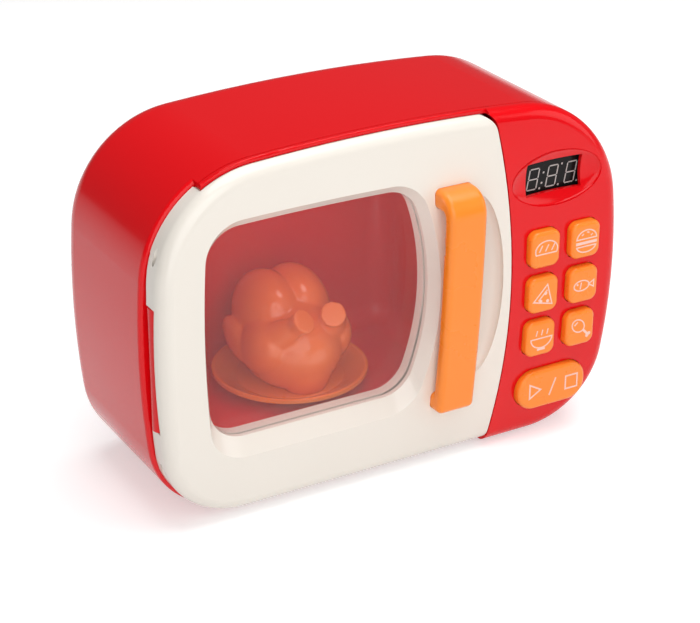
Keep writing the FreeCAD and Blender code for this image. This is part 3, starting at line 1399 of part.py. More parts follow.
cover_plate = cover_block("cover_plate", "no_inset", TRAY_BACK, "wall")
cover_head = rod("cover_head", ("cell_x", COVER_SEAT, COVER_SCREW_Z), "screw_head + handle_fit", "overrun", "Y")
battery_cover = cut("battery_cover", cover_plate, [cover_head, cover_pilot])
cover_screw = copies("cover_screw", screw, [(mm("cell_x"), mm(COVER_SEAT), mm(COVER_SCREW_Z))], TO_BACK)
CELL_Y = TRAY_BACK + " - tray_deep + tray_wall + cell_radius"
cell_solids = []
contact_solids = []
for number in range(CELLS):
    across = mm("cell_x") + (number - (CELLS - 1) / 2) * mm("cell_radius + cell_radius + cell_gap")
    nub_up = number % 2 == 0
    low = "cell_low_z + contact_thick"
    jacket_low = low if nub_up else low + " + cell_nub_tall"
    jacket = rod("cell_jacket_%d" % number, ("", CELL_Y, jacket_low), "cell_radius", "cell_long")
    nub = rod("cell_nub_%d" % number, ("", CELL_Y, low), "cell_nub", "cell_long + cell_nub_tall")
    for thing in (jacket, nub):
        thing.Placement.Base.x = across
    cell_solids.append(fuse("cell_%d" % number, [jacket, nub]))
    for end, up in enumerate(("cell_low_z", BAY_TOP + " - contact_thick")):
        contact = box("contact_%d_%d" % (number, end), ("", CELL_Y + " - contact_deep/2", up),
                      ("contact_wide", "contact_deep", "contact_thick"))
        contact.Placement.Base.x = across - mm("contact_wide/2")
        contact_solids.append(contact)
battery_cells = group("battery_cells", cell_solids)
battery_contacts = group("battery_contacts", contact_solids)

# Gears: involute flanks, stubbed teeth; the motor's pinion turns the idler, whose small wheel turns the hub

def gear(name, teeth, spot, low, tall, turn):
    """A spur gear about a vertical axis, with one tooth at the angle turn."""
    module = SIZES["gear_module"]
    pitch = module * teeth / 2
    base = pitch * math.cos(math.radians(PRESSURE_ANGLE))
    tip, root = pitch + ADDENDUM_SHARE * module, pitch - DEDENDUM_SHARE * module
    half_tooth = (math.pi * module - SIZES["gear_backlash"]) / (4 * pitch)

    def lean(radius):
        slope = math.acos(min(base / radius, 1.0))
        return math.tan(slope) - slope

    start = max(base, root)
    radii = [start + (tip - start) * step / FLANK_STEPS for step in range(FLANK_STEPS + 1)]
    flank = [(radius, half_tooth + lean(pitch) - lean(radius)) for radius in radii]
    if root < base:
        flank.insert(0, (root, flank[0][1]))
    points = []
    for number in range(teeth):
        middle = turn + 2 * math.pi * number / teeth
        for radius, half in flank:
            points.append((radius, middle - half))
        for radius, half in reversed(flank):
            points.append((radius, middle + half))
    corners = [FreeCAD.Vector(radius * math.cos(angle), radius * math.sin(angle), 0) for radius, angle in points]
    face = Part.Face(Part.makePolygon(corners + corners[:1]))
    wheel = doc.addObject("Part::Feature", name)
    wheel.Shape = face.extrude(FreeCAD.Vector(0, 0, mm(tall)))
    wheel.Placement.Base = FreeCAD.Vector(*spot, mm(low))
    return wheel


HUB_AT = ("table_x", "face_y + table_y")
hub_spot = (mm(HUB_AT[0]), mm(HUB_AT[1]))
idler_shift = SIZES["gear_module"] * (GEAR_TEETH["hub"] + GEAR_TEETH["idler_small"]) / 2
pinion_shift = SIZES["gear_module"] * (GEAR_TEETH["idler_large"] + GEAR_TEETH["pinion"]) / 2
idler_spot = (hub_spot[0] + idler_shift, hub_spot[1])
pinion_spot = (idler_spot[0] + pinion_shift, hub_spot[1])
DECK_TOP = "deck_low + deck_thick"
LOW_WHEEL = DECK_TOP + " + gear_gap"
HIGH_WHEEL = LOW_WHEEL + " + gear_thick + gear_gap"


def upright(name, spot, low, radius, length):
    """A vertical rod at a place that follows from the gears."""
    thing = rod(name, ("", "", low), radius, length)
    thing.Placement.Base.x = spot[0]
    thing.Placement.Base.y = spot[1]
    return thing


half_pitch = {name: math.pi / teeth for name, teeth in GEAR_TEETH.items()}
hub_wheel = gear("hub_wheel", GEAR_TEETH["hub"], hub_spot, HIGH_WHEEL, "gear_thick", 0.0)
hub_shaft = rod("hub_shaft", HUB_AT + (DECK_TOP + " + thrust_gap",), "hub_radius",
                "oven_floor + plate_lift - deck_low - deck_thick - thrust_gap")
hub_spigot = rod("hub_spigot", HUB_AT + ("deck_low",), "spigot_radius", "deck_thick + gear_gap")
hub_key = box("hub_key", ("table_x - hub_square/2", "face_y + table_y - hub_square/2", "oven_floor"),
              ("hub_square", "hub_square", "plate_lift + hub_square_tall"))
drive_hub = fuse("drive_hub", [hub_wheel, hub_shaft, hub_spigot, hub_key])
idler_low = gear("idler_low", GEAR_TEETH["idler_large"], idler_spot, LOW_WHEEL, "gear_thick", 0.0)
idler_high = gear("idler_high", GEAR_TEETH["idler_small"], idler_spot, LOW_WHEEL,
                  "gear_thick + gear_gap + gear_thick",
                  math.pi + half_pitch["idler_small"])
idler_bore = upright("idler_bore", idler_spot, "deck_low", "pivot_radius + pin_fit", "oven_floor")
idler_gear = cut("idler_gear", fuse("idler_solid", [idler_low, idler_high]), [idler_bore])
pinion_wheel = gear("pinion_wheel", GEAR_TEETH["pinion"], pinion_spot, LOW_WHEEL, "gear_thick",
                    math.pi + half_pitch["pinion"])
pinion_shaft = upright("pinion_shaft", pinion_spot, "deck_low - shaft_deep", "shaft_radius",
                       "shaft_deep + deck_thick + gear_gap + gear_thick")
motor_pinion = fuse("motor_pinion", [pinion_wheel, pinion_shaft])
idler_pin = fuse("idler_pin", [
    upright("idler_pin_rod", idler_spot, "deck_low", "pivot_radius", "oven_floor - liner_wall - deck_low - pin_top"),
    upright("idler_pin_head", idler_spot, "deck_low - pin_head_tall", "pin_head", "pin_head_tall")])
motor_block = box("motor_block", ("", "", "deck_low - motor_tall"), ("motor_wide", "motor_deep", "motor_tall"))
motor_block.Placement.Base.x = pinion_spot[0] - mm("motor_wide/2")
motor_block.Placement.Base.y = pinion_spot[1] - mm("motor_deep/2")
motor_bore = upright("motor_bore", pinion_spot, "deck_low - shaft_deep", "shaft_radius + pin_fit", "shaft_deep")
motor = cut("motor", motor_block, [motor_bore])
deck_solid = box("deck_solid", ("table_x - deck_left", "face_y + table_y - deck_half", "deck_low"),
                 ("deck_left + deck_right", "deck_half + deck_half", "deck_thick"))
cradle = []
for number, way in enumerate((-1, 1)):
    wall = box("cradle_%d" % number, ("", "", "deck_low - cradle_tall"),
               ("motor_wide", "cradle_wall", "cradle_tall + deck_thick/2"))
    wall.Placement.Base.x = pinion_spot[0] - mm("motor_wide/2")
    wall.Placement.Base.y = pinion_spot[1] + way * mm("motor_deep/2 + cradle_wall/2") - mm("cradle_wall/2")
    cradle.append(wall)
deck_holes = [rod("spigot_hole", HUB_AT + ("no_inset",), "spigot_radius + pin_fit", "oven_floor"),
              upright("pin_hole", idler_spot, "no_inset", "pivot_radius + pin_fit", "oven_floor"),
              upright("shaft_hole", pinion_spot, "no_inset", "shaft_radius + pin_fit", "oven_floor")]
deck_holes += [rod("deck_hole_%d" % number, ("table_x " + x, "face_y + table_y " + y, "no_inset"),
                   "screw_radius + pin_fit", "oven_floor") for number, (x, y) in enumerate(deck_posts)]
gear_plate = cut("gear_plate", fuse("deck_whole", [deck_solid] + cradle), deck_holes)
gear_screws = copies("gear_screws", screw, [(mm("table_x " + x), mm("face_y + table_y " + y), mm("deck_low"))
                                            for x, y in deck_posts], TO_BASE)

# Turntable plate, with a square socket for the hub

plate_body = new_body("plate_body")
plate_sketch = new_sketch(plate_body, "XZ_Plane", "")
polygon(plate_sketch, (
    ("no_inset", "no_inset"), ("plate_flat", "no_inset"), ("plate_radius", "plate_rim - plate_edge"),
    ("plate_radius", "plate_rim"), ("plate_radius - plate_edge", "plate_rim"), ("plate_flat", "plate_floor"),
    ("no_inset", "plate_floor")))
revolve(plate_body, plate_sketch)
place(plate_body, HUB_AT + ("oven_floor + plate_lift",))
plate_socket = box("plate_socket", ("table_x - hub_square/2 - pin_fit", "face_y + table_y - hub_square/2 - pin_fit",
                                    "oven_floor"),
                   ("hub_square + pin_fit + pin_fit", "hub_square + pin_fit + pin_fit",
                    "plate_lift + hub_square_tall + pin_fit"))
turntable_plate = cut("turntable_plate", plate_body, [plate_socket])

# Roast chicken: breast and body, two thighs with drumsticks, two wings, cut flat where it stands on the plate

BIRD_BASE = "oven_floor + plate_lift + plate_floor + "


def bird_egg(name, across, along, up, radii, tilt=None):
    turn = FreeCAD.Rotation(FreeCAD.Vector(1, 0, 0), tilt) if tilt else None
    return egg(name, ("table_x " + across, "face_y + table_y " + along, BIRD_BASE + up), radii, turn)


bird_solids = [
    bird_egg("bird_body", "+ no_inset", "+ no_inset", "bird_lift", ("bird_wide", "bird_long", "bird_tall")),
    bird_egg("bird_breast", "+ no_inset", "+ breast_back", "breast_lift",
             ("breast_wide", "breast_long", "breast_tall")),
    bird_egg("bird_tail", "+ no_inset", "- tail_front", "tail_lift", ("tail_wide", "tail_long", "tail_tall")),
]
for side, sign in (("left", "- "), ("right", "+ ")):
    bird_solids.append(bird_egg("thigh_" + side, sign + "thigh_spread", "- thigh_front", "thigh_lift",
                                ("thigh_thick", "thigh_long", "thigh_tall"), -THIGH_TILT))
    bird_solids.append(bird_egg("wing_" + side, sign + "wing_spread", "+ wing_back", "wing_lift",
                                ("wing_thick", "wing_long", "wing_tall")))
    bird_solids.append(bird_egg("knob_" + side, sign + "knob_spread", "- knob_front", "knob_lift",
                                ("knob_radius", "knob_radius", "knob_radius")))
    hip = FreeCAD.Vector(mm("table_x " + sign + "shank_spread"), mm("face_y + table_y - shank_front"),
                         mm(BIRD_BASE + "shank_lift"))
    ankle = FreeCAD.Vector(mm("table_x " + sign + "knob_spread"), mm("face_y + table_y - knob_front"),
                           mm(BIRD_BASE + "knob_lift"))
    shank = doc.addObject("Part::Cylinder", "shank_" + side)
    bind(shank, "Radius", "shank_radius")
    shank.Height = (ankle - hip).Length
    shank.Placement = FreeCAD.Placement(hip, FreeCAD.Rotation(FreeCAD.Vector(0, 0, 1), ankle - hip))
    bird_solids.append(shank)
bird_base = box("bird_base", ("table_x - overrun - bird_long", "face_y + table_y - overrun - bird_long",
                              "oven_floor + plate_lift + plate_floor - overrun"),
                ("overrun + overrun + bird_long + bird_long", "overrun + overrun + bird_long + bird_long", "overrun"))
roast_chicken = cut("roast_chicken", fuse("bird_solid", bird_solids), [bird_base])

# Checks, and one file for each node

NODES = [rear_housing, front_bezel, cavity_liner, feet, case_screws, hinge_pin, latch_clip, door_frame, window_pane,
         door_inner_panel, door_screws, door_handle, handle_screws, latch_tongue] + keys + [
         control_board, board_screws, key_switches, display_module, speaker, lamp_lens, lamp_led, battery_tray,
         battery_cells, battery_contacts, battery_cover, cover_screw, drive_hub, turntable_plate, roast_chicken,
         idler_gear, idler_pin, motor_pinion, motor, gear_plate, gear_screws]
doc.recompute()
for thing in doc.Objects:
    if "Invalid" in thing.State or "Error" in thing.State:
        raise ValueError("not built: " + thing.Name)
os.makedirs("parts", exist_ok=True)
for node in NODES:
    if node.Shape.isNull() or not node.Shape.isValid():
        raise ValueError("not a sound solid: " + node.Name)
    node.Label = node.Name
    node.Shape.exportStep("parts/" + node.Name + ".step")
    print(node.Name, len(node.Shape.Solids))
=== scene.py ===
import bpy
import math
from mathutils import Matrix, Vector


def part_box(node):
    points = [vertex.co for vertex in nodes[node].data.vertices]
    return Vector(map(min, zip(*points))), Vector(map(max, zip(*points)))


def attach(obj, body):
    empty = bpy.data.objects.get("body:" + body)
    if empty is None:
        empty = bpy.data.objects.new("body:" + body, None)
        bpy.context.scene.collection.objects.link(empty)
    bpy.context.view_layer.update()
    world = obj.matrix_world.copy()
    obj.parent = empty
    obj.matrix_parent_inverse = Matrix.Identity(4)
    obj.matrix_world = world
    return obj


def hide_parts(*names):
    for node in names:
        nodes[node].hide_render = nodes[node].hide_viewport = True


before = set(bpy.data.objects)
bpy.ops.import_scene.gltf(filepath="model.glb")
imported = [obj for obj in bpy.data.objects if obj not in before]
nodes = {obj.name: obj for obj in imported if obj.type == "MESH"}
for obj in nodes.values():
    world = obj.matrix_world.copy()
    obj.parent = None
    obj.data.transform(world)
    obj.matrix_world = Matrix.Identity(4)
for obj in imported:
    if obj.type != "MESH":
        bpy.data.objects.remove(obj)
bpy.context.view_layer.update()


# The case is a deep rear tub and a bowed front bezel, with the battery cover behind and the oven liner inside.
# All are injection-moulded in one red, polished outside, with the faint waviness that a mould leaves.
# The liner has a duller, finely textured skin.

def wire(material, out_socket, in_socket):
    """Join two sockets of a material."""
    material.node_tree.links.new(out_socket, in_socket)


def surface(material):
    """The node that holds the material's finish."""
    return material.node_tree.nodes["Principled BSDF"]


def noise(material, scale, detail):
    """A noise pattern fixed to the piece."""
    tree = material.node_tree.nodes
    if "place" not in tree:
        tree.new("ShaderNodeTexCoord").name = "place"
    pattern = tree.new("ShaderNodeTexNoise")
    pattern.inputs["Scale"].default_value = scale
    pattern.inputs["Detail"].default_value = detail
    wire(material, tree["place"].outputs["Object"], pattern.inputs["Vector"])
    return pattern.outputs["Fac"]


def tinted(material, share, colour, shade):
    """Base colour between colour and shade, by share."""
    tint = material.node_tree.nodes.new("ShaderNodeMix")
    tint.data_type = "RGBA"
    tint.inputs["A"].default_value = (*colour, 1.0)
    tint.inputs["B"].default_value = (*shade, 1.0)
    wire(material, share, tint.inputs["Factor"])
    wire(material, tint.outputs["Result"], surface(material).inputs["Base Color"])


def polished(material, gloss, patch_scale, patch_detail=6.0):
    """Roughness that wanders in patches between the two values of gloss."""
    sheen = material.node_tree.nodes.new("ShaderNodeMapRange")
    sheen.inputs["To Min"].default_value, sheen.inputs["To Max"].default_value = gloss
    wire(material, noise(material, patch_scale, patch_detail), sheen.inputs["Value"])
    wire(material, sheen.outputs["Result"], surface(material).inputs["Roughness"])


def waved(material, height, depth, strength=0.35):
    """A surface that height moves by about depth."""
    bump = material.node_tree.nodes.new("ShaderNodeBump")
    bump.inputs["Distance"].default_value = depth
    bump.inputs["Strength"].default_value = strength
    wire(material, height, bump.inputs["Height"])
    wire(material, bump.outputs["Normal"], surface(material).inputs["Normal"])


def moulded_skin(name, gloss, peel_size, peel_depth, specular=0.5):
    """Moulded plastic before its colour: gloss is (least, most) roughness, peel is a fine waviness."""
    plastic_ior, gloss_scale, peel_detail = 1.48, 42.0, 2.0
    material = bpy.data.materials.new(name)
    material.use_nodes = True
    surface(material).inputs["IOR"].default_value = plastic_ior
    surface(material).inputs["Specular IOR Level"].default_value = specular
    polished(material, gloss, gloss_scale)
    waved(material, noise(material, 1.0 / peel_size, peel_detail), peel_depth)
    return material


def moulded_plastic(name, colour, shade, **skin):
    """Moulded plastic whose colour drifts to shade in soft patches."""
    drift_scale, drift_detail = 9.0, 3.0
    material = moulded_skin(name, **skin)
    tinted(material, noise(material, drift_scale, drift_detail), colour, shade)
    return material


def dress(material, *names):
    """Give the CAD pieces of these names one material."""
    for name in names:
        node = nodes[name]
        node.data.materials.clear()
        node.data.materials.append(material)


case_red = moulded_plastic("case_red", colour=(0.80, 0.0022, 0.007), shade=(0.74, 0.0018, 0.005),
                           gloss=(0.12, 0.19), peel_size=0.008, peel_depth=0.00003, specular=0.32)
dress(case_red, "rear_housing", "front_bezel", "battery_cover")
liner_red = moulded_plastic("liner_red", colour=(0.80, 0.005, 0.012), shade=(0.72, 0.004, 0.010),
                            gloss=(0.28, 0.38), peel_size=0.009, peel_depth=0.00003)
dress(liner_red, "cavity_liner")

# Four round feet of soft dark grey rubber are glued under the tub.
# Rubber is matt, dusty in patches, and takes a fine grain from its mould.

foot_rubber = moulded_plastic("foot_rubber", colour=(0.055, 0.052, 0.050), shade=(0.085, 0.080, 0.076),
                              gloss=(0.62, 0.85), peel_size=0.0007, peel_depth=0.00006, specular=0.3)
dress(foot_rubber, "feet")

# Plated steel screws hold the case, the door, the handle, the board, the gears and the battery cover.
# The hinge pin, the idler's pin, the latch clip and the battery contacts are brighter steel, drawn or
# stamped, and slightly clouded by their plating.


def plated_metal(name, grain, **finish):
    """Plated metal, clouded in patches, with fine drawing marks of the size of grain."""
    mark_depth = 0.00001
    material = moulded_plastic(name, peel_size=grain, peel_depth=mark_depth, **finish)
    surface(material).inputs["Metallic"].default_value = 1.0
    return material


zinc_steel = plated_metal("zinc_steel", colour=(0.62, 0.62, 0.63), shade=(0.50, 0.50, 0.51),
                          gloss=(0.24, 0.42), grain=0.0008)
dress(zinc_steel, "case_screws", "door_screws", "handle_screws", "board_screws", "gear_screws", "cover_screw")
bright_steel = plated_metal("bright_steel", colour=(0.70, 0.69, 0.67), shade=(0.60, 0.59, 0.57),
                            gloss=(0.14, 0.28), grain=0.0004)
dress(bright_steel, "hinge_pin", "idler_pin", "latch_clip", "battery_contacts")

# The drive under the oven floor: a small motor in a steel can turns a pinion, a double idler and the hub.
# The wheels, their carrier plate and the door's latch tongue are moulded in natural white plastic, which is
# waxy and lets a little light in.

wax_share = 0.1
wax_reach = (0.002, 0.002, 0.0015)
gear_white = moulded_plastic("gear_white", colour=(0.76, 0.75, 0.71), shade=(0.70, 0.68, 0.63),
                             gloss=(0.36, 0.52), peel_size=0.0012, peel_depth=0.00003)
surface(gear_white).inputs["Subsurface Weight"].default_value = wax_share
surface(gear_white).inputs["Subsurface Radius"].default_value = wax_reach
dress(gear_white, "drive_hub", "idler_gear", "motor_pinion", "gear_plate", "latch_tongue")
motor_can = plated_metal("motor_can", colour=(0.48, 0.48, 0.47), shade=(0.40, 0.40, 0.39),
                         gloss=(0.30, 0.46), grain=0.0015)
dress(motor_can, "motor")

# The turntable plate is a round orange plate with a raised rim, pushed onto the hub's square.
# It is injection-moulded plastic with a glossy skin.

plate_orange = moulded_plastic("plate_orange", colour=(0.96, 0.25, 0.042), shade=(0.90, 0.215, 0.034),
                               gloss=(0.09, 0.18), peel_size=0.005, peel_depth=0.00003)
dress(plate_orange, "turntable_plate")

# The roast chicken is blow-moulded in browner orange plastic and stands on the plate by its flat base.
# Breast, thighs, drumsticks with cut ends and folded wings are one skin, with soft creases where they meet.
# Its places are given from the middle of the base: right, back and up, with the right one of each pair.

roast_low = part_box("roast_chicken")[0]
plate_low, plate_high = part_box("turntable_plate")
roast_base = Vector(((plate_low.x + plate_high.x) / 2, (plate_low.y + plate_high.y) / 2, roast_low.z))
body_spot, body_radii = (0.0, 0.0, 0.0200), (0.0265, 0.0310, 0.0255)
tail_spot, tail_radii = (0.0, -0.0170, 0.0160), (0.0150, 0.0125, 0.0225)
breast_spot, breast_radii = (0.0078, 0.0090, 0.0325), (0.0168, 0.0240, 0.0225)
thigh_spot, thigh_radii, thigh_tilt = (0.0185, -0.0060, 0.0220), (0.0105, 0.0185, 0.0145), -28.0
wing_spot, wing_radii, wing_tilt = (0.0255, 0.0080, 0.0220), (0.0048, 0.0150, 0.0085), 24.0
hip_spot, hip_radius = (0.0175, -0.0095, 0.0250), 0.0112
ankle_spot, ankle_radius = (0.0100, -0.0265, 0.0405), 0.0046
knuckle_radius, knuckle_root, knuckle_long = 0.0066, 0.0030, 0.0062
roast_voxel = 0.0008
soften_share, soften_rounds = 0.5, 6
roast_orange = moulded_plastic("roast_orange", colour=(0.92, 0.20, 0.045), shade=(0.78, 0.14, 0.030),
                               gloss=(0.08, 0.18), peel_size=0.006, peel_depth=0.0003)


def roast_side(spot, side):
    """The place on the left (-1) or the right (1) of the bird."""
    return Vector((side * spot[0], spot[1], spot[2]))


def roast_egg(spot, radii, tilt=0.0):
    """One swelling of the bird, tilted about the line across it."""
    bpy.ops.mesh.primitive_uv_sphere_add(segments=40, ring_count=24, radius=1.0)
    egg = bpy.context.object
    egg.data.transform(Matrix.Translation(roast_base + Vector(spot))
                       @ Matrix.Rotation(math.radians(tilt), 4, "X") @ Matrix.Diagonal((*radii, 1.0)))
    return egg


def roast_limb(start, end, start_radius, end_radius):
    """A round limb that tapers from start to end, with flat ends."""
    bpy.ops.mesh.primitive_cone_add(vertices=32, radius1=start_radius, radius2=end_radius,
                                    depth=(end - start).length)
    limb = bpy.context.object
    limb.data.transform(Matrix.Translation(roast_base + (start + end) / 2)
                        @ (end - start).to_track_quat("Z", "Y").to_matrix().to_4x4())
    return limb


roast_forms = [roast_egg(body_spot, body_radii), roast_egg(tail_spot, tail_radii)]
for side in (-1.0, 1.0):
    hip, ankle = roast_side(hip_spot, side), roast_side(ankle_spot, side)
    shank = (ankle - hip).normalized()
    roast_forms.append(roast_egg(roast_side(breast_spot, side), breast_radii))
    roast_forms.append(roast_egg(roast_side(thigh_spot, side), thigh_radii, thigh_tilt))
    roast_forms.append(roast_egg(roast_side(wing_spot, side), wing_radii, wing_tilt))
    roast_forms.append(roast_limb(hip, ankle, hip_radius, ankle_radius))
    roast_forms.append(roast_limb(ankle - shank * knuckle_root, ankle + shank * knuckle_long,
                                  ankle_radius, knuckle_radius))
bpy.ops.object.select_all(action="DESELECT")
for form in roast_forms:
    form.select_set(True)
roast = roast_forms[0]
bpy.context.view_layer.objects.active = roast
bpy.ops.object.join()
roast.name = "roast_skin"
melt = roast.modifiers.new("melt", "REMESH")
melt.mode = "VOXEL"
melt.voxel_size = roast_voxel
melt.use_smooth_shade = True
bpy.ops.object.modifier_apply(modifier="melt")
soften = roast.modifiers.new("soften", "SMOOTH")
soften.factor = soften_share
soften.iterations = soften_rounds
bpy.ops.object.modifier_apply(modifier="soften")
bpy.ops.object.mode_set(mode="EDIT")
bpy.ops.mesh.select_all(action="SELECT")
bpy.ops.mesh.bisect(plane_co=roast_base, plane_no=(0.0, 0.0, 1.0), use_fill=True, clear_inner=True)
bpy.ops.object.mode_set(mode="OBJECT")
roast.data.materials.clear()
roast.data.materials.append(roast_orange)
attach(roast, "turntable")
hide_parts("roast_chicken")

# The control board is green glass-fibre laminate with a gloss mask over its tracks, held on posts by screws.
# Seven small black push switches are soldered to it, of the same black plastic as the battery tray.

track_scale, track_wide, track_blur = 60.0, 0.035, 0.2
board_colour, board_shade, track_colour = (0.010, 0.085, 0.028), (0.008, 0.070, 0.024), (0.030, 0.190, 0.070)
board_upright = (math.radians(90.0), 0.0, 0.0)
board_green = moulded_skin("board_green", gloss=(0.22, 0.36), peel_size=0.002, peel_depth=0.00002)
tracks = board_green.node_tree.nodes.new("ShaderNodeTexBrick")
tracks.inputs["Scale"].default_value = track_scale
tracks.inputs["Mortar Size"].default_value = track_wide
tracks.inputs["Mortar Smooth"].default_value = track_blur
tracks.inputs["Color1"].default_value = (*board_colour, 1.0)
tracks.inputs["Color2"].default_value = (*board_shade, 1.0)
tracks.inputs["Mortar"].default_value = (*track_colour, 1.0)
board_turn = board_green.node_tree.nodes.new("ShaderNodeMapping")
board_turn.inputs["Rotation"].default_value = board_upright
wire(board_green, board_green.node_tree.nodes["place"].outputs["Object"], board_turn.inputs["Vector"])
wire(board_green, board_turn.outputs["Vector"], tracks.inputs["Vector"])
wire(board_green, tracks.outputs["Color"], surface(board_green).inputs["Base Color"])
dress(board_green, "control_board")
switch_black = moulded_plastic("switch_black", colour=(0.016, 0.016, 0.017), shade=(0.024, 0.024, 0.025),
                               gloss=(0.40, 0.55), peel_size=0.0008, peel_depth=0.00003)
dress(switch_black, "key_switches", "battery_tray")

# The speaker is a thin grey metal basket behind the slots in the oven's side wall.
# The lamp is a clear diode behind a frosted round lens, held in the same wall.

speaker_grey = plated_metal("speaker_grey", colour=(0.30, 0.30, 0.31), shade=(0.20, 0.20, 0.21),
                            gloss=(0.36, 0.55), grain=0.0009)
dress(speaker_grey, "speaker")


def clear_plastic(name, tint, cover, haze, through):
    """Thin clear plastic: cover is how much of it shows, through how much of that is seen through."""
    clear_ior, haze_scale = 1.45, 30.0
    wave_scale, wave_detail, wave_depth, wave_strength = 14.0, 1.0, 0.0002, 0.15
    material = bpy.data.materials.new(name)
    material.use_nodes = True
    surface(material).inputs["Base Color"].default_value = (*tint, 1.0)
    surface(material).inputs["Transmission Weight"].default_value = through
    surface(material).inputs["Alpha"].default_value = cover
    surface(material).inputs["IOR"].default_value = clear_ior
    polished(material, haze, haze_scale)
    waved(material, noise(material, wave_scale, wave_detail), wave_depth, wave_strength)
    return material


lens_frost = clear_plastic("lens_frost", tint=(1.0, 0.97, 0.92), cover=0.6, haze=(0.30, 0.45), through=0.7)
dress(lens_frost, "lamp_lens", "lamp_led")

# Three dry cells lie side by side in the black tray behind the battery cover, between plated contacts.
# Each cell is a steel can in a printed film jacket: dark, with a copper-coloured band at one end.

cell_band = 0.012
jacket_dark, jacket_copper = (0.018, 0.019, 0.022), (0.52, 0.20, 0.07)
cell_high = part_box("battery_cells")[1]
cell_jacket = moulded_skin("cell_jacket", gloss=(0.18, 0.30), peel_size=0.003, peel_depth=0.00002)
jacket_tree = cell_jacket.node_tree.nodes
split = jacket_tree.new("ShaderNodeSeparateXYZ")
wire(cell_jacket, jacket_tree["place"].outputs["Object"], split.inputs["Vector"])
band = jacket_tree.new("ShaderNodeMath")
band.operation = "GREATER_THAN"
band.inputs[1].default_value = cell_high.z - cell_band
wire(cell_jacket, split.outputs["Z"], band.inputs[0])
tinted(cell_jacket, band.outputs["Value"], jacket_dark, jacket_copper)
dress(cell_jacket, "battery_cells")

# The display is a smoked plastic block, soldered to the board, with three slanted seven-segment digits, a
# colon and points, all unlit. Each segment is a pale bar in the smoked face, made here as a film a tenth of a
# millimetre thick.

digit_tall = 0.0107
digit_wide = 0.0056
digit_pitch = 0.0113
digit_lean = 0.18
digits_right = 0.0018
digits_down = 0.0018
segment_wide = 0.0006
point_wide = 0.0011
point_gap = 0.0021
film_thick = 0.00010
film_coat = 0.000004
dot_sides = 10
display_smoke = moulded_plastic("display_smoke", colour=(0.007, 0.006, 0.006), shade=(0.011, 0.010, 0.010),
                                gloss=(0.16, 0.26), peel_size=0.004, peel_depth=0.00002, specular=0.15)
dress(display_smoke, "display_module")
segment_grey = moulded_plastic("segment_grey", colour=(0.56, 0.52, 0.50), shade=(0.47, 0.43, 0.41),
                               gloss=(0.40, 0.50), peel_size=0.001, peel_depth=0.00001)


def stroke(spot, long, wide, turn=0.0):
    """A straight bar."""
    bpy.ops.object.select_all(action="DESELECT")
    bpy.ops.mesh.primitive_plane_add(size=1.0)
    bar = bpy.context.object
    bar.data.transform(Matrix.Translation((*spot, 0.0)) @ Matrix.Rotation(math.radians(turn), 4, "Z")
                       @ Matrix.Diagonal((long, wide, 1.0, 1.0)))
    return bar


def flat_disc(sides, wide, tall, spot=(0.0, 0.0), turn=0.0, keep=None):
    """A flat polygon, wide by tall; keep names the side of a height, in half heights, on which it stays."""
    bpy.ops.object.select_all(action="DESELECT")
    bpy.ops.mesh.primitive_circle_add(vertices=sides, radius=1.0, fill_type="NGON")
    shape = bpy.context.object
    if keep:
        kept_side, height = keep
        bpy.ops.object.mode_set(mode="EDIT")
        bpy.ops.mesh.select_all(action="SELECT")
        bpy.ops.mesh.bisect(plane_co=(0.0, height, 0.0), plane_no=(0.0, 1.0, 0.0),
                            clear_inner=kept_side == "above", clear_outer=kept_side == "below")
        bpy.ops.object.mode_set(mode="OBJECT")
    shape.data.transform(Matrix.Translation((*spot, 0.0)) @ Matrix.Rotation(math.radians(turn), 4, "Z")
                         @ Matrix.Diagonal((wide / 2, tall / 2, 1.0, 1.0)))
    return shape


def print_film(name, shapes, node, body, ink, grow=1.0):
    """The flat shapes become one film of ink on a node's front, grown by grow, each a coat above the last."""
    bpy.ops.object.select_all(action="DESELECT")
    for coat, shape in enumerate(shapes):
        shape.data.transform(Matrix.Translation((0.0, 0.0, coat * film_coat)))
        shape.select_set(True)
    bpy.context.view_layer.objects.active = shapes[0]
    bpy.ops.object.join()
    film = bpy.context.object
    film.name = name
    film.data.transform(Matrix.Scale(grow, 4))
    skin = film.modifiers.new("film", "SOLIDIFY")
    skin.thickness = film_thick
    skin.offset = 1.0
    bpy.ops.object.modifier_apply(modifier="film")
    low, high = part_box(node)
    film.data.transform(Matrix(((1.0, 0.0, 0.0, (low.x + high.x) / 2), (0.0, 0.0, -1.0, low.y),
                                (0.0, 1.0, 0.0, (low.z + high.z) / 2), (0.0, 0.0, 0.0, 1.0))))
    film.data.materials.append(ink)
    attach(film, body)


half_tall, half_wide = digit_tall / 2, digit_wide / 2
bars = [((0.0, z), digit_wide, 0.0) for z in (half_tall, 0.0, -half_tall)]
bars += [((x, z), half_tall, 90.0) for x in (-half_wide, half_wide) for z in (-half_tall / 2, half_tall / 2)]
point_right = half_wide + point_gap
points = [(-digit_pitch / 2, half_tall / 2), (-digit_pitch / 2, -half_tall / 2), (point_right, half_tall)]
points += [(digit_pitch * number + point_right, -half_tall) for number in (-1, 0, 1)]
lean = Matrix(((1.0, digit_lean, 0.0, digits_right), (0.0, 1.0, 0.0, -digits_down), (0.0, 0.0, 1.0, 0.0),
               (0.0, 0.0, 0.0, 1.0)))
segments = []
for number in (-1, 0, 1):
    for (x, z), long, turn in bars:
        bar = stroke((x, z), long - segment_wide, segment_wide, turn)
        bar.data.transform(Matrix.Translation((number * digit_pitch, 0.0, 0.0)) @ lean)
        segments.append(bar)
for spot in points:
    dot = flat_disc(dot_sides, point_wide, point_wide, spot)
    dot.data.transform(lean)
    segments.append(dot)
print_film("display_digits", segments, "display_module", "case", segment_grey)

# Six square keys and one long key slide in the panel's holes, over their switches.
# They are moulded in bright orange plastic with a soft sheen.

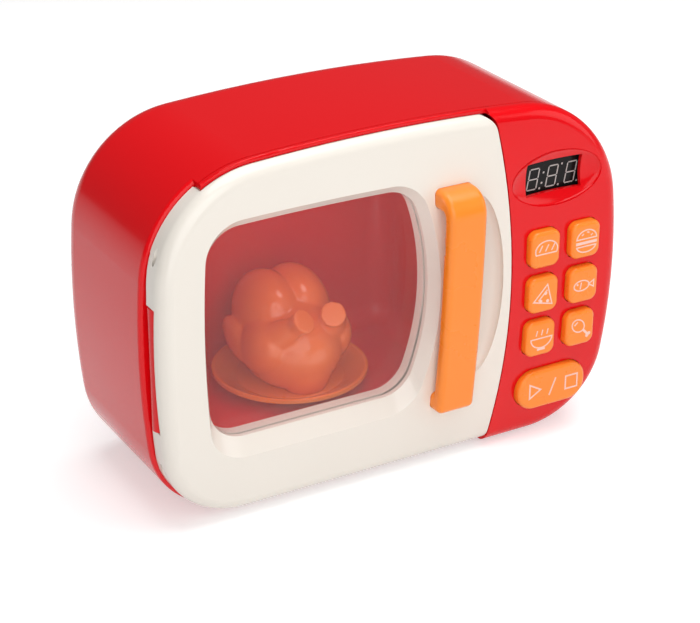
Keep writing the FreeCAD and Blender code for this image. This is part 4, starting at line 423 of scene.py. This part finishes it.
bright_orange = moulded_plastic("bright_orange", colour=(1.0, 0.275, 0.022), shade=(0.96, 0.245, 0.018),
                                gloss=(0.22, 0.34), peel_size=0.005, peel_depth=0.00003)
dress(bright_orange, "start_key", *["food_key_%d" % number for number in range(1, 7)])

# Each small key has a food picture pad-printed in pale ink, and the long key signs for go and halt.
# The pictures are plain line drawings on the flat of the cap, in sizes and places from its middle.

ink_line = 0.00058
picture_grow = 1.16
sign_grow = 1.45
round_sides, drop_sides, triangle_sides, square_sides = 28, 12, 3, 4
key_ink = moulded_plastic("key_ink", colour=(0.98, 0.66, 0.58), shade=(0.90, 0.56, 0.47),
                          gloss=(0.45, 0.60), peel_size=0.001, peel_depth=0.00001)


def outline(*disc, **more):
    """The same polygon as an even line."""
    shape = flat_disc(*disc, **more)
    bpy.ops.object.mode_set(mode="EDIT")
    bpy.ops.mesh.select_all(action="SELECT")
    bpy.ops.mesh.inset(thickness=ink_line)
    bpy.ops.mesh.delete(type="FACE")
    bpy.ops.object.mode_set(mode="OBJECT")
    return shape


loaf_wide, loaf_tall, loaf_foot_share = 0.0120, 0.0092, -0.42
cut_long, cut_turn, cut_spots = 0.0034, 62.0, ((-0.0030, 0.0010), (0.0002, 0.0010), (0.0034, 0.0010))
loaf = [outline(round_sides, loaf_wide, loaf_tall, keep=("above", loaf_foot_share))]
loaf += [stroke(spot, cut_long, ink_line, cut_turn) for spot in cut_spots]

bun_wide, bun_tall, bun_spot = 0.0112, 0.0094, (0.0, 0.0006)
filling_thick, filling_spot = 0.0013, (0.0, -0.0010)
heel_wide, heel_tall, heel_spot = 0.0108, 0.0066, (0.0, -0.0024)
seed_long, seeds = 0.0012, (((-0.0022, 0.0030), 30.0), ((0.0006, 0.0038), -20.0), ((0.0026, 0.0024), 40.0))
burger = [outline(round_sides, bun_wide, bun_tall, bun_spot, keep=("above", 0.0)),
          stroke(filling_spot, bun_wide, filling_thick),
          outline(round_sides, heel_wide, heel_tall, heel_spot, keep=("below", 0.0))]
burger += [stroke(spot, seed_long, ink_line, turn) for spot, turn in seeds]

slice_size, slice_spot, slice_turn = 0.0128, (0.0, -0.0008), -14.0
crust_long, crust_spot, crust_turn = 0.0064, (-0.0008, 0.0), 46.0
topping_wide, topping_spots = 0.0016, ((-0.0018, -0.0026), (0.0018, -0.0030), (0.0006, 0.0008))
pizza = [outline(triangle_sides, slice_size, slice_size, slice_spot, slice_turn),
         stroke(crust_spot, crust_long, ink_line, crust_turn)]
pizza += [flat_disc(drop_sides, topping_wide, topping_wide, spot) for spot in topping_spots]

fish_long, fish_tall, fish_spot = 0.0086, 0.0054, (-0.0014, 0.0)
fin_size, fin_spot, fin_turn = 0.0048, (0.0042, 0.0), 90.0
eye_wide, eye_spot = 0.0010, (-0.0036, 0.0008)
gill_long, gill_spot, gill_turn = 0.0032, (-0.0018, 0.0), 80.0
fish = [outline(round_sides, fish_long, fish_tall, fish_spot),
        outline(triangle_sides, fin_size, fin_size, fin_spot, fin_turn),
        flat_disc(dot_sides, eye_wide, eye_wide, eye_spot),
        stroke(gill_spot, gill_long, ink_line, gill_turn)]

bowl_wide, bowl_tall, bowl_spot = 0.0118, 0.0104, (0.0, 0.0006)
bowl_foot_wide, bowl_foot_thick, bowl_foot_spot = 0.0042, 0.0009, (0.0, -0.0050)
steam_long, steam_turn, steam_spots = 0.0026, 76.0, ((-0.0026, 0.0030), (0.0002, 0.0030), (0.0030, 0.0030))
bowl = [outline(round_sides, bowl_wide, bowl_tall, bowl_spot, keep=("below", 0.0)),
        stroke(bowl_foot_spot, bowl_foot_wide, bowl_foot_thick)]
bowl += [stroke(spot, steam_long, ink_line, steam_turn) for spot in steam_spots]

meat_long, meat_wide, meat_spot, meat_turn = 0.0078, 0.0062, (-0.0014, 0.0014), -38.0
bone_long, bone_thick, bone_spot, bone_turn = 0.0038, 0.0011, (0.0027, -0.0024), -46.0
bone_end_wide, bone_end_spots = 0.0017, ((0.0036, -0.0043), (0.0047, -0.0034))
glint_long, glint_spot, glint_turn = 0.0022, (-0.0026, 0.0026), 40.0
drumstick = [outline(round_sides, meat_long, meat_wide, meat_spot, meat_turn),
             stroke(bone_spot, bone_long, bone_thick, bone_turn)]
drumstick += [flat_disc(drop_sides, bone_end_wide, bone_end_wide, spot) for spot in bone_end_spots]
drumstick.append(stroke(glint_spot, glint_long, ink_line, glint_turn))

pictures = {"loaf": loaf, "burger": burger, "pizza": pizza,
            "fish": fish, "bowl": bowl, "drumstick": drumstick}
for number, (food, shapes) in enumerate(pictures.items(), start=1):
    key = "food_key_%d" % number
    print_film(food + "_print", shapes, key, key + "_body", key_ink, picture_grow)

go_size, go_spot, go_turn = 0.0074, (-0.0082, 0.0), -90.0
halt_size, halt_spot, halt_turn = 0.0080, (0.0082, 0.0), 45.0
slash_long, slash_turn = 0.0070, 68.0
go_halt = [outline(triangle_sides, go_size, go_size, go_spot, go_turn),
           stroke((0.0, 0.0), slash_long, ink_line, slash_turn),
           outline(square_sides, halt_size, halt_size, halt_spot, halt_turn)]
print_film("go_halt_print", go_halt, "start_key", "start_key_body", key_ink, sign_grow)

# The door is a glossy cream shell with a dished window and a finger hollow, backed by a flat inner panel.
# The panel clamps the clear pane against the shell and is screwed on from inside.

door_cream = moulded_plastic("door_cream", colour=(0.85, 0.80, 0.725), shade=(0.82, 0.765, 0.69),
                             gloss=(0.12, 0.22), peel_size=0.008, peel_depth=0.00003)
dress(door_cream, "door_frame", "door_inner_panel")
# The part of the pane that shows but is not seen through is a faint pink diffuse veil: painted reflection,
# standing in for the hazy reflection that lies over the window.
pane_with_painted_haze = clear_plastic("pane_with_painted_haze", tint=(1.0, 0.88, 0.88), cover=0.075, haze=(0.03, 0.08), through=0.55)
dress(pane_with_painted_haze, "window_pane")

# The handle is a bowed strap across the finger hollow, moulded in the keys' orange plastic.
# It is screwed to the door from behind at both ends.

dress(bright_orange, "door_handle")

# The object stands on a wide floor of white paper that takes its shadow.
# The paper glows a little to the eye, in mirrors and through clear plastic, so that it looks white there.

floor_wide = 12.0
floor_glow = 0.47
bpy.ops.object.select_all(action="DESELECT")
bpy.ops.mesh.primitive_plane_add(size=floor_wide, location=(0.0, 0.0, 0.0))
floor = bpy.context.object
floor.name = "floor"
paper = moulded_plastic("paper", colour=(0.82, 0.82, 0.82), shade=(0.79, 0.79, 0.79),
                        gloss=(0.70, 0.85), peel_size=0.002, peel_depth=0.00002, specular=0.2)
ray = paper.node_tree.nodes.new("ShaderNodeLightPath")
seen = ray.outputs["Is Camera Ray"]
for way in ("Is Glossy Ray", "Is Transmission Ray"):
    either = paper.node_tree.nodes.new("ShaderNodeMath")
    either.operation = "MAXIMUM"
    wire(paper, seen, either.inputs[0])
    wire(paper, ray.outputs[way], either.inputs[1])
    seen = either.outputs["Value"]
glow = paper.node_tree.nodes.new("ShaderNodeMath")
glow.operation = "MULTIPLY"
glow.inputs[1].default_value = floor_glow
wire(paper, seen, glow.inputs[0])
surface(paper).inputs["Emission Color"].default_value = (1.0, 1.0, 1.0, 1.0)
wire(paper, glow.outputs["Value"], surface(paper).inputs["Emission Strength"])
floor.data.materials.append(paper)

# Soft studio light: a broad lamp in front on the left, one overhead and a weaker one on the right.
# A faint small lamp brightens the inside of the oven, and the room itself gives a dim even light.

case_middle = (0.0, 0.0, 0.09)
case_upper = (0.0, 0.0, 0.1)
panel_middle = (0.05, 0.0, 0.09)
fill_spot, fill_radius, fill_power = (-0.024, -0.010, 0.142), 0.012, 0.020
room_glow = 0.15


def soft_lamp(name, spot, aim, wide, power):
    """A round lamp that faces aim."""
    bpy.ops.object.light_add(type="AREA", location=spot)
    lamp = bpy.context.object
    lamp.name = name
    lamp.data.shape = "DISK"
    lamp.data.size = wide
    lamp.data.energy = power
    lamp.rotation_euler = (Vector(aim) - Vector(spot)).to_track_quat("-Z", "Y").to_euler()


soft_lamp("front_lamp", spot=(-0.65, -1.45, 0.80), aim=case_middle, wide=1.9, power=17.5)
soft_lamp("top_lamp", spot=(0.15, -0.1, 1.5), aim=case_upper, wide=1.5, power=18.0)
soft_lamp("right_lamp", spot=(1.4, -0.8, 0.7), aim=panel_middle, wide=1.2, power=5.0)
bpy.ops.object.light_add(type="POINT", location=fill_spot)
oven_fill = bpy.context.object
oven_fill.name = "oven_fill"
oven_fill.data.shadow_soft_size = fill_radius
oven_fill.data.energy = fill_power
oven_fill.visible_camera = False
oven_fill.visible_transmission = False
room = bpy.data.worlds.new("room")
room.use_nodes = True
room.node_tree.nodes["Background"].inputs["Color"].default_value = (1.0, 1.0, 1.0, 1.0)
room.node_tree.nodes["Background"].inputs["Strength"].default_value = room_glow
bpy.context.scene.world = room
bpy.context.scene.view_settings.view_transform = "Standard"

# The camera stands in front on the left and looks down at the door, with a long lens and no shift.
# It is turned to the right, dropped below the level, and rolled so that its top tips to the left.

camera_spot = (-0.45318, -0.77509, 0.50380)
camera_turn, camera_drop, camera_roll = math.radians(30.279), math.radians(25.601), math.radians(0.287)
camera_lens, sensor_wide = 101.2, 36.0
clip_near = 0.01
bpy.ops.object.camera_add(location=camera_spot)
camera = bpy.context.object
camera.data.lens = camera_lens
camera.data.sensor_width = sensor_wide
camera.data.sensor_fit = "HORIZONTAL"
camera.data.clip_start = clip_near
ahead = Vector((math.sin(camera_turn) * math.cos(camera_drop), math.cos(camera_turn) * math.cos(camera_drop),
                -math.sin(camera_drop)))
level = ahead.cross(Vector((0.0, 0.0, 1.0))).normalized()
upright = level.cross(ahead)
across = level * math.cos(camera_roll) + upright * math.sin(camera_roll)
up = upright * math.cos(camera_roll) - level * math.sin(camera_roll)
camera.rotation_euler = Matrix((across, up, -ahead)).transposed().to_euler()
bpy.context.scene.camera = camera
